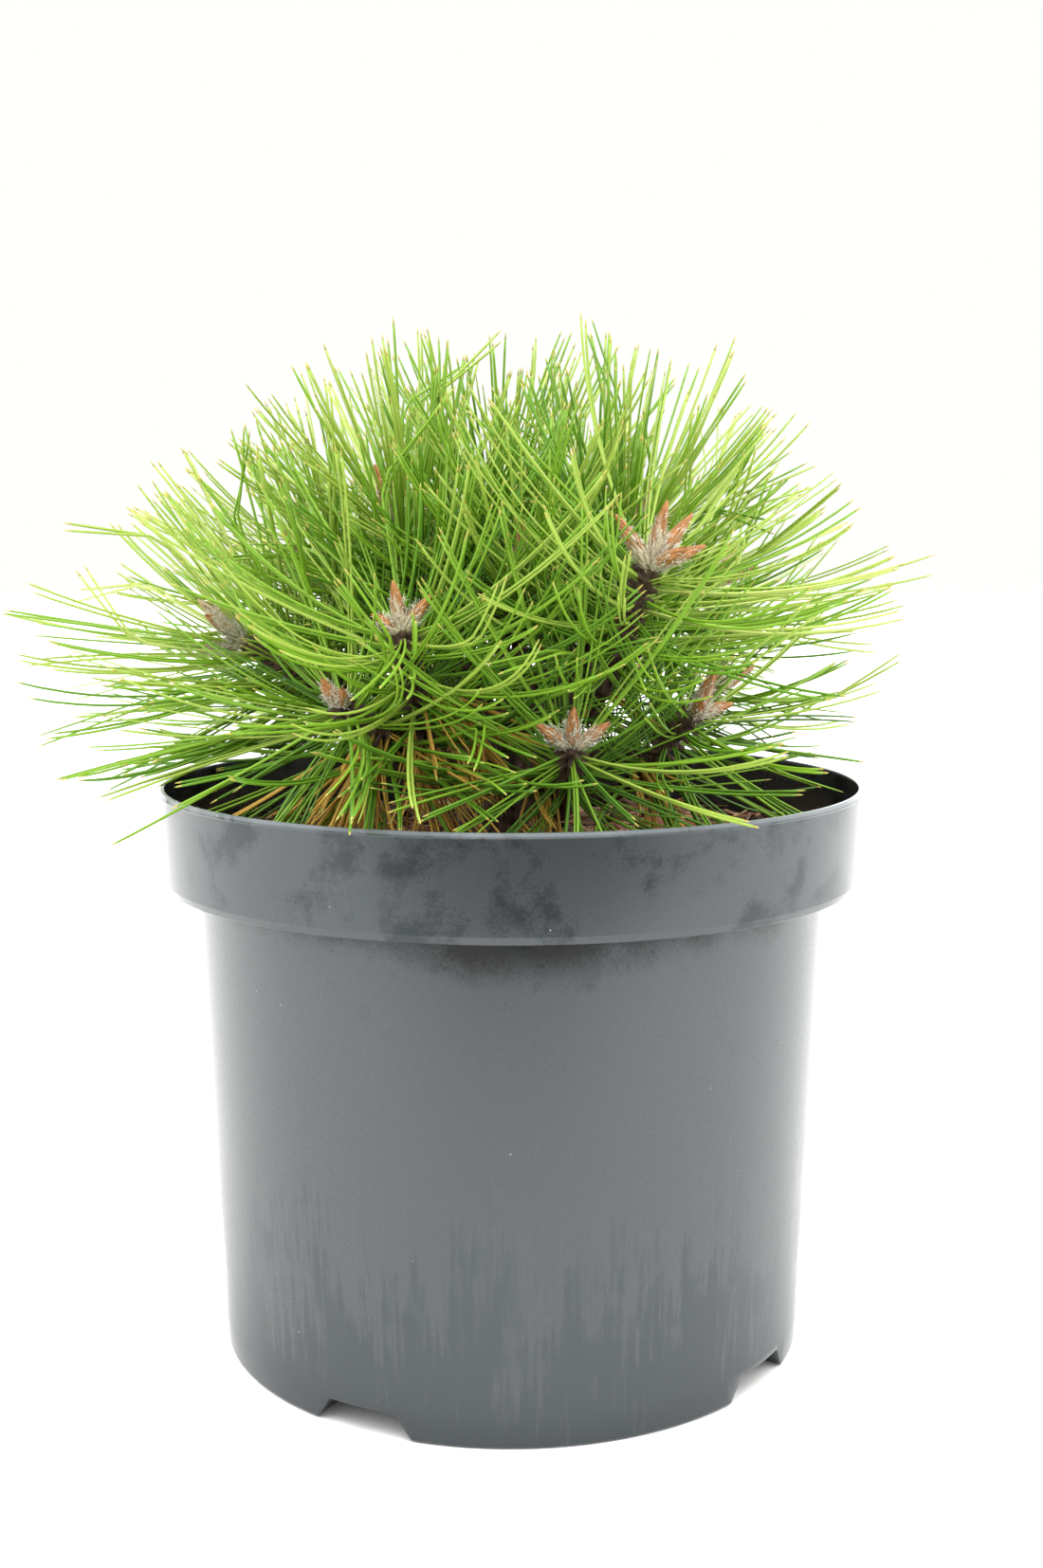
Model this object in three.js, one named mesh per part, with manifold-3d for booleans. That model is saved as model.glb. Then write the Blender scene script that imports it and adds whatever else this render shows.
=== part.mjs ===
// A young Japanese red pine of a low, mounded kind in a round nursery container.
// Millimetres, +Z up. The origin is the centre of the container's flat underside, and -Y is the front.
import * as THREE from "three";
import { mergeVertices } from "three/addons/utils/BufferGeometryUtils.js";
import Module from "manifold-3d";

const wasm = await Module();
wasm.setup();

// Container: a moulded tub with a straight collar round its mouth
const POT_HEIGHT = 195;
const RIM_RADIUS = 121.5;
const COLLAR_FOOT_RADIUS = 120;
const COLLAR_FOOT_Z = 162;
const COLLAR_LIP = 1.6;
const WALL_TOP_RADIUS = 108.5;
const FOOT_RADIUS = 101.5;
const WALL = 2;
const POT_SIDES = 64;

// Drainage: four channels under the floor, open through the wall's foot
const CHANNEL_ANGLES = [-27.5, 54.5, 152.5, 234.5]; // degrees from the front, to the right
const CHANNEL_HEIGHT = 8;
const CHANNEL_FOOT_WIDTH = 35;
const CHANNEL_CROWN_WIDTH = 24;
const CHANNEL_INNER_RADIUS = 62;
const DRAIN_RADIUS = 5;
const DRAIN_DISTANCE = 84;

// Growing medium, heaped a little round the stem
const SOIL_CENTRE_Z = 174;
const SOIL_EDGE_Z = 172;
const SOIL_WAVE = 1.2;
const SOIL_RINGS = [98, 72, 46, 24]; // radii of the uneven part of its surface, the last level round the stem
const SOIL_SIDES = 28;

// Stem and boughs
const CLEARANCE = 0.3; // between neighbouring pieces
const TRUNK_SIDES = 10;
const BOUGH_SIDES = 6;
const BOUGH_FOOT_RADIUS = 4;
const BOUGH_TIP_RADIUS = 3.1;
const BOUGH_BEND = 0.4; // share of a bough's span that each of its two bends takes
const BOUGH_RISE = 0.35; // how steeply a bough leaves the stem, next to how it rises on the whole

// Needles: each stands for a tuft of the real ones
const NEEDLE_RADIUS = 1.9;
const NEEDLE_TRIES = 31; // for each shoot, from its foot to its tip
const SHORTER = [1, 0.8, 0.62, 0.46]; // a needle that meets something is tried shorter, then skipped
const NEEDLED = { from: 0.1, to: 0.96 }; // share of the shoot that carries needles
const LEAVES_AT = { foot: 84, tip: 30 }; // degrees between needle and shoot
const LENGTHS = { from: 0.86, to: 1.08 }; // of the shoot's own needle length
const CURLS_ON = 0.28; // how far a needle's outer half turns along the shoot
const CURLS_UP = { from: -0.06, to: 0.36 }; // and how far it turns upward
const FIRST_TEST = 0.14; // share of the way at which a needle has left its own shoot
const TEST_STEP = 0.04;
const GOLDEN_ANGLE = Math.PI * (3 - Math.sqrt(5));
const SPACE_MARGIN = 4.6; // how much nearer its own shoot than any other a needle stays
const LIMB_MARGIN = 2.6; // between a needle's middle and a limb's surface
const POT_MARGIN = 2.8;

// Winter buds round each shoot's tip
const BUD_LENGTH = 19;
const SIDE_BUD_LENGTH = 16;
const BUD_SUNK = 3; // how deep a bud's foot sits in the shoot
const BUD_LEAN = { middle: 6, side: 38 }; // degrees from the shoot
const BUD_TURN = 1.2; // where round the shoot the side buds start
const BUD_TAPER = [
  [0, 2],
  [0.42, 3.3],
  [0.72, 2],
  [1, 0],
]; // share of the way, radius
const BUD_SIDES = 5;
const BUD_REACH = 13; // how far past the shoot's tip other shoots' needles allow for buds

const FIRST_SEED = 12;

const BARK = new THREE.MeshStandardMaterial({ color: 0x5a4638, roughness: 0.9, metalness: 0 });
const NEEDLE_GREEN = new THREE.MeshStandardMaterial({ color: 0x6aa52c, roughness: 0.5, metalness: 0 });
const TUB_PLASTIC = new THREE.MeshStandardMaterial({ color: 0x1d1f21, roughness: 0.38, metalness: 0 });
const POTTING_BARK = new THREE.MeshStandardMaterial({ color: 0x4f3a2d, roughness: 0.95, metalness: 0 });

const radians = THREE.MathUtils.degToRad;
const vector = (x, y, z) => new THREE.Vector3(x, y, z);
const onward = (point, direction, by) => point.clone().addScaledVector(direction, by);
const between = ({ from, to }, share) => THREE.MathUtils.lerp(from, to, share);
const UP = vector(0, 0, 1);

// Each shoot: the foot of its buds, the way it points, the length that carries needles, the needles'
// length, the height at which its bough leaves the stem, and how many buds it ends in.
const SHOOTS = [
  shoot("front_right_upper", [44, -48, 269], [0.3, -0.38, 0.87], 42, 88, 214, 4),
  shoot("front_left_upper", [-34, -58, 249], [-0.12, -0.46, 0.88], 40, 92, 209, 3),
  shoot("front_low", [19, -74, 214], [0.04, -0.82, 0.57], 36, 80, 190, 3),
  shoot("right_low", [60, -38, 221], [0.56, -0.46, 0.68], 34, 76, 195, 3),
  shoot("left_low", [-54, -52, 225], [-0.55, -0.6, 0.58], 34, 96, 197, 2),
  shoot("left_tip", [-92, 2, 243], [-0.86, -0.08, 0.5], 44, 88, 207, 3),
  shoot("top_left", [-40, 8, 283], [-0.34, -0.04, 0.94], 42, 78, 226, 3),
  shoot("top_right", [42, 14, 278], [0.34, 0.1, 0.93], 42, 80, 229, 3),
  shoot("top_back", [-5, 52, 284], [-0.02, 0.34, 0.94], 42, 80, 234, 3),
  shoot("centre", [2, -8, 264], [-0.02, -0.3, 0.95], 24, 80, null, 2),
  shoot("right_back_upper", [72, 42, 262], [0.7, 0.34, 0.62], 42, 80, 219, 3),
  shoot("left_back_upper", [-72, 46, 268], [-0.6, 0.34, 0.72], 42, 80, 217, 3),
  shoot("right_back_low", [72, 34, 222], [0.84, 0.3, 0.45], 36, 74, 191, 2),
  shoot("left_back_low", [-74, 56, 222], [-0.76, 0.48, 0.44], 38, 80, 201, 2),
  shoot("back_left_low", [-26, 80, 222], [-0.22, 0.86, 0.46], 36, 78, 192, 3),
  shoot("back_right_low", [36, 78, 226], [0.34, 0.82, 0.46], 36, 78, 200, 3),
  shoot("back_upper", [26, 70, 262], [0.2, 0.68, 0.7], 38, 80, 209, 3),
];

function shoot(name, tip, points, carries, needle, leavesAt, buds) {
  const direction = vector(...points).normalize();
  const end = vector(...tip);
  const foot = onward(end, direction, -carries);
  return { name, foot, end, direction, needle, leavesAt, buds };
}

// The stem leans a little and ends in the short leader that carries the centre shoot.
const LEADER = SHOOTS.find((s) => s.leavesAt === null);
const TRUNK_END = onward(LEADER.foot, LEADER.direction, -CLEARANCE);
const TRUNK_LINE = new THREE.CubicBezierCurve3(
  vector(-5, 4, SOIL_CENTRE_Z - 6),
  vector(-6, 6, SOIL_CENTRE_Z + 22),
  onward(TRUNK_END, LEADER.direction, -26),
  TRUNK_END,
);
const SHOOT_TAPER = [
  [0, BOUGH_TIP_RADIUS],
  [0.5, 2.9],
  [1, 2.4],
];
const TRUNK_TAPER = [
  [0, 17],
  [0.1, 14.5],
  [0.2, 11.6],
  [0.34, 10],
  [0.6, 8.6],
  [0.85, 6],
  [1, BOUGH_TIP_RADIUS],
]; // share of the way up, radius: the root flare comes first

// A repeatable stream of numbers from 0 to 1
function seededRandom(seed) {
  let state = seed >>> 0;
  return () => {
    state = (state + 0x6d2b79f5) >>> 0;
    let mixed = Math.imul(state ^ (state >>> 15), state | 1);
    mixed ^= mixed + Math.imul(mixed ^ (mixed >>> 7), mixed | 61);
    return ((mixed ^ (mixed >>> 14)) >>> 0) / 4294967296;
  };
}

// A closed geometry as a solid. Faces that collapse at a pole are dropped first.
function solidOf(geometry) {
  const bare = new THREE.BufferGeometry().setAttribute("position", geometry.getAttribute("position"));
  bare.setIndex(geometry.index);
  const merged = mergeVertices(bare, 1e-4);
  const faces = [];
  for (let i = 0; i < merged.index.count; i += 3) {
    const [a, b, c] = [0, 1, 2].map((k) => merged.index.getX(i + k));
    if (a !== b && b !== c && a !== c) faces.push(a, b, c);
  }
  const mesh = new wasm.Mesh({
    numProp: 3,
    vertProperties: merged.getAttribute("position").array,
    triVerts: new Uint32Array(faces),
  });
  return new wasm.Manifold(mesh);
}

function geometryOf(solid) {
  const { numProp, vertProperties, triVerts } = solid.getMesh();
  const positions = new Float32Array((vertProperties.length / numProp) * 3);
  for (let i = 0; i < positions.length / 3; i++) {
    positions.set(vertProperties.subarray(i * numProp, i * numProp + 3), i * 3);
  }
  const geometry = new THREE.BufferGeometry();
  geometry.setAttribute("position", new THREE.BufferAttribute(positions, 3));
  geometry.setIndex(new THREE.BufferAttribute(new Uint32Array(triVerts), 1));
  geometry.computeVertexNormals();
  return geometry;
}

// The largest piece, with any hollow that fusing sealed filled and loose scraps dropped
function wholeOf(solid) {
  return solid.decompose().reduce((best, piece) => (piece.volume() > best.volume() ? piece : best));
}

function meshOf(name, solid, material) {
  const mesh = new THREE.Mesh(geometryOf(solid), material);
  mesh.name = name;
  return mesh;
}

// A turned profile of [radius, height] points about +Z
function turned(profile, sides) {
  const points = profile.map(([radius, height]) => new THREE.Vector2(radius, height));
  return new THREE.LatheGeometry(points, sides).rotateX(Math.PI / 2);
}

// A round bar of changing radius whose middle follows a curve. taper holds [share of the way, radius].
function limbAlong(curve, taper, sides) {
  const [first, last] = [taper[0][0], taper[taper.length - 1][0]];
  const profile = [new THREE.Vector2(0, first)];
  taper.forEach(([share, radius]) => profile.push(new THREE.Vector2(radius, share)));
  if (taper[taper.length - 1][1] > 0) profile.push(new THREE.Vector2(0, last));
  const bar = new THREE.LatheGeometry(profile, sides);
  const position = bar.getAttribute("position");
  for (let i = 0; i < position.count; i++) {
    const share = position.getY(i);
    const tangent = curve.getTangent(share);
    const aside = Math.abs(tangent.z) > 0.8 ? vector(0, 1, 0) : UP;
    const across = new THREE.Vector3().crossVectors(aside, tangent).normalize();
    const deep = new THREE.Vector3().crossVectors(across, tangent);
    const point = curve.getPoint(share);
    point.addScaledVector(across, position.getX(i)).addScaledVector(deep, position.getZ(i));
    position.setXYZ(i, point.x, point.y, point.z);
  }
  return bar;
}

// Container
function channelPrism(angle, spread, reach) {
  const bottom = CHANNEL_FOOT_WIDTH / 2 + spread;
  const top = CHANNEL_CROWN_WIDTH / 2 + spread;
  const height = CHANNEL_HEIGHT + spread;
  const outline = new THREE.Shape([
    new THREE.Vector2(-bottom, -1),
    new THREE.Vector2(bottom, -1),
    new THREE.Vector2(top, height),
    new THREE.Vector2(-top, height),
  ]);
  const inner = CHANNEL_INNER_RADIUS - spread;
  const prism = new THREE.ExtrudeGeometry(outline, { depth: reach - inner, bevelEnabled: false });
  // The outline stands upright and runs out from the axis towards the front, then turns to its angle.
  prism.rotateX(Math.PI / 2).translate(0, -inner, 0).rotateZ(radians(angle));
  return solidOf(prism);
}

function drainHole(angle) {
  const hole = new THREE.CylinderGeometry(DRAIN_RADIUS, DRAIN_RADIUS, 3 * WALL, 12);
  hole.rotateX(Math.PI / 2).translate(0, -DRAIN_DISTANCE, CHANNEL_HEIGHT + WALL / 2);
  return solidOf(hole.rotateZ(radians(angle)));
}

function buildPot() {
  const innerFoot = FOOT_RADIUS - WALL;
  const shelf = COLLAR_FOOT_Z + WALL;
  const shell = solidOf(
    turned(
      [
        [0, 0],
        [FOOT_RADIUS, 0],
        [WALL_TOP_RADIUS, COLLAR_FOOT_Z],
        [COLLAR_FOOT_RADIUS - COLLAR_LIP, COLLAR_FOOT_Z],
        [COLLAR_FOOT_RADIUS, COLLAR_FOOT_Z + COLLAR_LIP],
        [RIM_RADIUS, POT_HEIGHT - WALL / 2],
        [RIM_RADIUS - WALL / 2, POT_HEIGHT],
        [RIM_RADIUS - WALL, POT_HEIGHT - WALL / 2],
        [COLLAR_FOOT_RADIUS - WALL, shelf],
        [WALL_TOP_RADIUS - WALL, shelf],
        [innerFoot, WALL],
        [0, WALL],
      ],
      POT_SIDES,
    ),
  );
  const hoodSpace = [
    [0, WALL / 2],
    [innerFoot + WALL / 2, WALL / 2],
    [innerFoot + WALL / 2, CHANNEL_HEIGHT * 2],
    [0, CHANNEL_HEIGHT * 2],
  ];
  const inside = solidOf(turned(hoodSpace, POT_SIDES));
  const hoods = CHANNEL_ANGLES.map((angle) => channelPrism(angle, WALL, FOOT_RADIUS).intersect(inside));
  const cuts = CHANNEL_ANGLES.map((angle) => channelPrism(angle, 0, RIM_RADIUS).add(drainHole(angle)));
  const floored = hoods.reduce((pot, hood) => pot.add(hood), shell);
  return wholeOf(cuts.reduce((pot, cut) => pot.subtract(cut), floored));
}

// Growing medium
function soilWave(x, y) {
  const wave = Math.sin(x * 0.11 + 1.3) * Math.cos(y * 0.13) + 0.6 * Math.sin(x * 0.05 - y * 0.09);
  return SOIL_WAVE * wave;
}

function buildSoil() {
  const collarInside = COLLAR_FOOT_RADIUS - WALL - CLEARANCE;
  const shelf = COLLAR_FOOT_Z + WALL + CLEARANCE;
  const floor = WALL + CLEARANCE;
  const [outer, middle, inner, level] = SOIL_RINGS;
  const surface = turned(
    [
      [0, floor],
      [FOOT_RADIUS - WALL - CLEARANCE, floor],
      [WALL_TOP_RADIUS - WALL - CLEARANCE, shelf],
      [collarInside, shelf],
      [collarInside, SOIL_EDGE_Z],
      [outer, SOIL_EDGE_Z],
      [middle, (SOIL_EDGE_Z + SOIL_CENTRE_Z) / 2],
      [inner, SOIL_CENTRE_Z],
      [level, SOIL_CENTRE_Z],
      [0, SOIL_CENTRE_Z],
    ],
    SOIL_SIDES,
  );
  const position = surface.getAttribute("position");
  for (let i = 0; i < position.count; i++) {
    const [x, y, z] = [position.getX(i), position.getY(i), position.getZ(i)];
    const radius = Math.hypot(x, y);
    const uneven = z > shelf && radius > level + 1 && radius < outer + 1;
    if (uneven) position.setZ(i, z + soilWave(x, y));
  }
  const kept = CHANNEL_ANGLES.map((angle) => channelPrism(angle, WALL + CLEARANCE, RIM_RADIUS));
  return wholeOf(kept.reduce((soil, hood) => soil.subtract(hood), solidOf(surface)));
}

// Stem and boughs
function grown(taper, by) {
  return taper.map(([share, radius]) => [share, radius + by]);
}

function buildTrunk() {
  const limb = solidOf(limbAlong(TRUNK_LINE, TRUNK_TAPER, TRUNK_SIDES));
  const flatCut = new THREE.BoxGeometry(80, 80, 40).translate(0, 0, SOIL_CENTRE_Z + CLEARANCE - 20);
  return wholeOf(limb.subtract(solidOf(flatCut)));
}

// The middle of the stem at a height, found by halving
function trunkAt(height) {
  let [low, high] = [0, 1];
  for (let step = 0; step < 16; step++) {
    const middle = (low + high) / 2;
    if (TRUNK_LINE.getPoint(middle).z < height) low = middle;
    else high = middle;
  }
  return TRUNK_LINE.getPoint(low);
}

function boughLine(s) {
  const start = trunkAt(s.leavesAt);
  const outward = s.foot.clone().sub(start);
  const bend = outward.length() * BOUGH_BEND;
  const leaves = vector(outward.x, outward.y, outward.z * BOUGH_RISE).normalize();
  const end = onward(s.foot, s.direction, -CLEARANCE);
  const swings = [onward(start, leaves, bend), onward(end, s.direction, -bend)];
  return new THREE.CubicBezierCurve3(start, ...swings, end);
}

const BOUGH_TAPER = [0, 0.25, 0.5, 0.75, 1].map((share) => [
  share,
  between({ from: BOUGH_FOOT_RADIUS, to: BOUGH_TIP_RADIUS }, share),
]);

function buildBough(s, trunkSpace) {
  return wholeOf(solidOf(limbAlong(boughLine(s), BOUGH_TAPER, BOUGH_SIDES)).subtract(trunkSpace));
}

// The limbs as chains of points with a radius, which needles keep clear of
function chainAlong(curve, taper) {
  const steps = 12;
  return Array.from({ length: steps + 1 }, (_, step) => {
    const [, radius] = taper.find(([share]) => share >= step / steps);
    return { point: curve.getPoint(step / steps), radius };
  });
}

const LIMBS = [
  ...chainAlong(TRUNK_LINE, TRUNK_TAPER),
  ...SHOOTS.filter((s) => s !== LEADER).flatMap((s) => chainAlong(boughLine(s), BOUGH_TAPER)),
];

// Foliage
const nearest = new THREE.Vector3();
function distanceToShoot(point, s) {
  new THREE.Line3(s.foot, onward(s.end, s.direction, BUD_REACH)).closestPointToPoint(point, true, nearest);
  return nearest.distanceTo(point);
}

function clearOfPot(point) {
  const radius = Math.hypot(point.x, point.y);
  if (radius < RIM_RADIUS - WALL - POT_MARGIN) return point.z > SOIL_CENTRE_Z + 2 * SOIL_WAVE + POT_MARGIN;
  if (radius < RIM_RADIUS + POT_MARGIN) return point.z > POT_HEIGHT + POT_MARGIN;
  return true;
}

function keepsItsSpace(point, own) {
  if (!clearOfPot(point)) return false;
  const mine = distanceToShoot(point, own);
  if (SHOOTS.some((s) => s !== own && distanceToShoot(point, s) < mine + SPACE_MARGIN)) return false;
  return LIMBS.every((link) => link.point.distanceTo(point) > link.radius + LIMB_MARGIN);
}

// A direction that leans from another by an angle, turned round it
function leaning(direction, lean, turn) {
  const across = new THREE.Vector3().crossVectors(direction, UP).normalize();
  const deep = new THREE.Vector3().crossVectors(across, direction);
  const around = across.multiplyScalar(Math.cos(turn)).addScaledVector(deep, Math.sin(turn));
  return direction.clone().multiplyScalar(Math.cos(lean)).addScaledVector(around, Math.sin(lean));
}

// One needle: it leaves the shoot at its angle, and its outer half curves up and on along the shoot.
function needleLine(s, share, turn, random) {
  const root = s.foot.clone().lerp(s.end, share);
  const lean = radians(THREE.MathUtils.lerp(LEAVES_AT.foot, LEAVES_AT.tip, share ** 1.4));
  const leaves = leaning(s.direction, lean, turn);
  const curls = onward(leaves, s.direction, CURLS_ON).addScaledVector(UP, between(CURLS_UP, random()));
  return { root, leaves, curls: curls.normalize(), length: s.needle * between(LENGTHS, random()) };
}

// The needle's middle: straight from the root to a knee half way, and straight on to the tip
function needlePath({ root, leaves, curls, length }, part) {
  const knee = onward(root, leaves, (length * part) / 2);
  const tip = onward(knee, curls, (length * part) / 2);
  const path = new THREE.CurvePath();
  path.add(new THREE.LineCurve3(root, knee));
  path.add(new THREE.LineCurve3(knee, tip));
  return path;
}

function needleSpike(path, part) {
  const radius = NEEDLE_RADIUS * Math.sqrt(part);
  return limbAlong(path, [[0, radius], [0.5, radius], [1, 0]], 3);
}

function fits(path, own) {
  for (let share = FIRST_TEST; share <= 1; share += TEST_STEP) {
    if (!keepsItsSpace(path.getPoint(share), own)) return false;
  }
  return true;
}

// The first bud stands on in the shoot's line, and the others lean out round it.
function budAt(s, index) {
  const lean = radians(index === 0 ? BUD_LEAN.middle : BUD_LEAN.side);
  const turn = BUD_TURN + (index * 2 * Math.PI) / Math.max(s.buds - 1, 1);
  const length = BUD_SUNK + (index === 0 ? BUD_LENGTH : SIDE_BUD_LENGTH);
  const base = onward(s.end, s.direction, -BUD_SUNK);
  const tip = onward(base, leaning(s.direction, lean, turn), length);
  return limbAlong(new THREE.LineCurve3(base, tip), BUD_TAPER, BUD_SIDES);
}

function buildMass(s, seed) {
  const random = seededRandom(seed);
  let mass = solidOf(limbAlong(new THREE.LineCurve3(s.foot, s.end), SHOOT_TAPER, BOUGH_SIDES));
  for (let index = 0; index < NEEDLE_TRIES; index++) {
    const share = between(NEEDLED, (index + random() / 2) / NEEDLE_TRIES);
    const line = needleLine(s, share, index * GOLDEN_ANGLE + seed, random);
    const part = SHORTER.find((size) => fits(needlePath(line, size), s));
    if (part) mass = mass.add(solidOf(needleSpike(needlePath(line, part), part)));
  }
  for (let index = 0; index < s.buds; index++) mass = mass.add(solidOf(budAt(s, index)));
  return wholeOf(mass);
}

const pine = new THREE.Group();
pine.name = "potted_japanese_red_pine";
pine.add(meshOf("pot", buildPot(), TUB_PLASTIC));
pine.add(meshOf("soil", buildSoil(), POTTING_BARK));
pine.add(meshOf("trunk", buildTrunk(), BARK));
const trunkSpace = solidOf(limbAlong(TRUNK_LINE, grown(TRUNK_TAPER, CLEARANCE), TRUNK_SIDES));
SHOOTS.forEach((s, index) => {
  if (s !== LEADER) pine.add(meshOf("bough_" + s.name, buildBough(s, trunkSpace), BARK));
  pine.add(meshOf("needles_" + s.name, buildMass(s, FIRST_SEED + index), NEEDLE_GREEN));
});

export default pine;
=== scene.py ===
"""A young Japanese red pine in a round nursery container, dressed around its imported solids.

Blender's frame is the part's own: metres, +Z up, the origin under the middle of the container's
flat underside, and the front towards -Y. Growth is worked out in millimetres, as in the part's source,
so fields and arguments are in millimetres, and two numbers are the least and the most, unless their
text says otherwise.
"""

import logging
import math
from dataclasses import dataclass, field, fields
from enum import Enum

import bpy
import numpy as np
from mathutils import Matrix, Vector
from mathutils.bvhtree import BVHTree

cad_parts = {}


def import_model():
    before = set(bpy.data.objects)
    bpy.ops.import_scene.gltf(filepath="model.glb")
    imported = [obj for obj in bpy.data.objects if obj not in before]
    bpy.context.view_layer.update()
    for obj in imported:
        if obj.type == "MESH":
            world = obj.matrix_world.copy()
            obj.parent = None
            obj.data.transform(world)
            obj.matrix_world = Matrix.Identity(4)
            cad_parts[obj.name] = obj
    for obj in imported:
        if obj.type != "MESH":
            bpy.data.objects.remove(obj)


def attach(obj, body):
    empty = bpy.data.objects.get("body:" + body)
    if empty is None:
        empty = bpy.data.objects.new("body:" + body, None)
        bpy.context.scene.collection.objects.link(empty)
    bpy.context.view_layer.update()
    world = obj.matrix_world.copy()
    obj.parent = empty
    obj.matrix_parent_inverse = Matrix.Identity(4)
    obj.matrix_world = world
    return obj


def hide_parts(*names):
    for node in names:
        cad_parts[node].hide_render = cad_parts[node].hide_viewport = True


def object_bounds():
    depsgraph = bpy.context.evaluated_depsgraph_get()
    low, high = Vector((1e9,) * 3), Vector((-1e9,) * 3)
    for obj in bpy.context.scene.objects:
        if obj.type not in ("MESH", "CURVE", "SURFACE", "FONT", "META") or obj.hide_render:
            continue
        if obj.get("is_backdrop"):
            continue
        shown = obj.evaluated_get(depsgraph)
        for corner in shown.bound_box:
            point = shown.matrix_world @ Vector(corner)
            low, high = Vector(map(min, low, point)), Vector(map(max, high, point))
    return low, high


log = logging.getLogger("pine")

MM = 0.001
TINY = 1e-9
WELD = 1e-6
BODY = "root"
UP = np.array((0.0, 0.0, 1.0))
GOLDEN_ANGLE = math.pi * (3 - math.sqrt(5))

Array = np.ndarray
Material = bpy.types.Material
Node = bpy.types.Node
Piece = bpy.types.Object
Socket = bpy.types.NodeSocket
Tree = bpy.types.NodeTree
Spot = tuple[float, float, float]
Profile = list[tuple[float, float]]


# Finishes


def linear(hex_colour: str) -> tuple[float, float, float, float]:
    """Turn an sRGB hex colour into the linear colour that a shader takes.

    Args:
        hex_colour: Six hex digits, such as "6aa52c".

    Returns:
        Linear red, green, blue and a full alpha.
    """
    parts = [int(hex_colour[i : i + 2], 16) / 255 for i in (0, 2, 4)]
    red, green, blue = (p / 12.92 if p <= 0.04045 else ((p + 0.055) / 1.055) ** 2.4 for p in parts)
    return (red, green, blue, 1.0)


def connect(tree: Tree, node: Node, inputs: dict[str | int, object]) -> None:
    """Feed a node's inputs.

    Args:
        tree: The material's or world's node tree.
        node: The node.
        inputs: Input name or index, and what feeds it: a node, by its first output, an output socket
            or a plain value.
    """
    for name, value in inputs.items():
        source = value.outputs[0] if isinstance(value, Node) else value
        if isinstance(source, Socket):
            tree.links.new(source, node.inputs[name])
        else:
            node.inputs[name].default_value = source


def add_node(
    tree: Tree,
    kind: str,
    inputs: dict[str | int, object] | None = None,
    stops: tuple[tuple[float, str], ...] = (),
    **settings: object,
) -> Node:
    """Add a shader node, set it up and link it.

    Args:
        tree: The material's or world's node tree.
        kind: The node's type, without the leading "ShaderNode".
        inputs: What feeds its inputs, as connect takes it.
        stops: Position and sRGB hex colour of each stop of a colour ramp, from low to high.
        **settings: Attributes of the node itself.

    Returns:
        The new node.
    """
    node = tree.nodes.new("ShaderNode" + kind)
    for name, value in settings.items():
        setattr(node, name, value)
    connect(tree, node, inputs or {})
    for _ in stops[2:]:
        node.color_ramp.elements.new(1.0)
    for number, (position, colour) in enumerate(stops):
        element = node.color_ramp.elements[number]
        element.position, element.color = position, linear(colour)
    return node


def weighted(tree: Tree, terms: list[tuple[Node | Socket, float]], start: float) -> Node:
    """Add weighted values to a starting number.

    Args:
        tree: The node tree.
        terms: Each value with its weight.
        start: The number to start from.

    Returns:
        The sum.
    """
    total = start
    for value, weight in terms:
        total = add_node(tree, "Math", {0: value, 1: weight, 2: total}, operation="MULTIPLY_ADD")
    return total


def patch_at(tree: Tree, place: Socket, centre: Spot, reach: Spot) -> Socket:
    """Mark a soft round patch, which falls from 1 at its middle to 0 at its edge.

    Args:
        tree: The node tree.
        place: The surface's own coordinates.
        centre: The patch's middle.
        reach: How far it reaches along each axis.

    Returns:
        The mark.
    """
    scale = tuple(1 / (far * MM) for far in reach)
    moved = tuple(-at * MM * size for at, size in zip(centre, scale))
    around = add_node(tree, "Mapping", {"Vector": place, "Location": moved, "Scale": scale})
    return add_node(tree, "TexGradient", {"Vector": around}, gradient_type="SPHERICAL").outputs["Fac"]


def principled(name: str) -> tuple[Material, Tree, Node]:
    """Start a material.

    Args:
        name: The real material's name.

    Returns:
        The material, its node tree and its shader.
    """
    material = bpy.data.materials.new(name)
    material.use_nodes = True
    return material, material.node_tree, material.node_tree.nodes["Principled BSDF"]


@dataclass(frozen=True)
class PlainFinish:
    """A finish of one even colour, for small parts whose colour is dealt out piece by piece.

    Attributes:
        name: The real material's name.
        colour: sRGB hex.
        roughness: From 0, mirror, to 1, chalk.
        ior: Index of refraction of its skin.
    """

    name: str
    colour: str
    roughness: float = 0.5
    ior: float = 1.45

    def build(self) -> Material:
        """Make the material.

        Returns:
            The material, the same all over.
        """
        material, tree, shader = principled(self.name)
        colour = linear(self.colour)
        connect(tree, shader, {"Base Color": colour, "Roughness": self.roughness, "IOR": self.ior})
        return material


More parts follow.
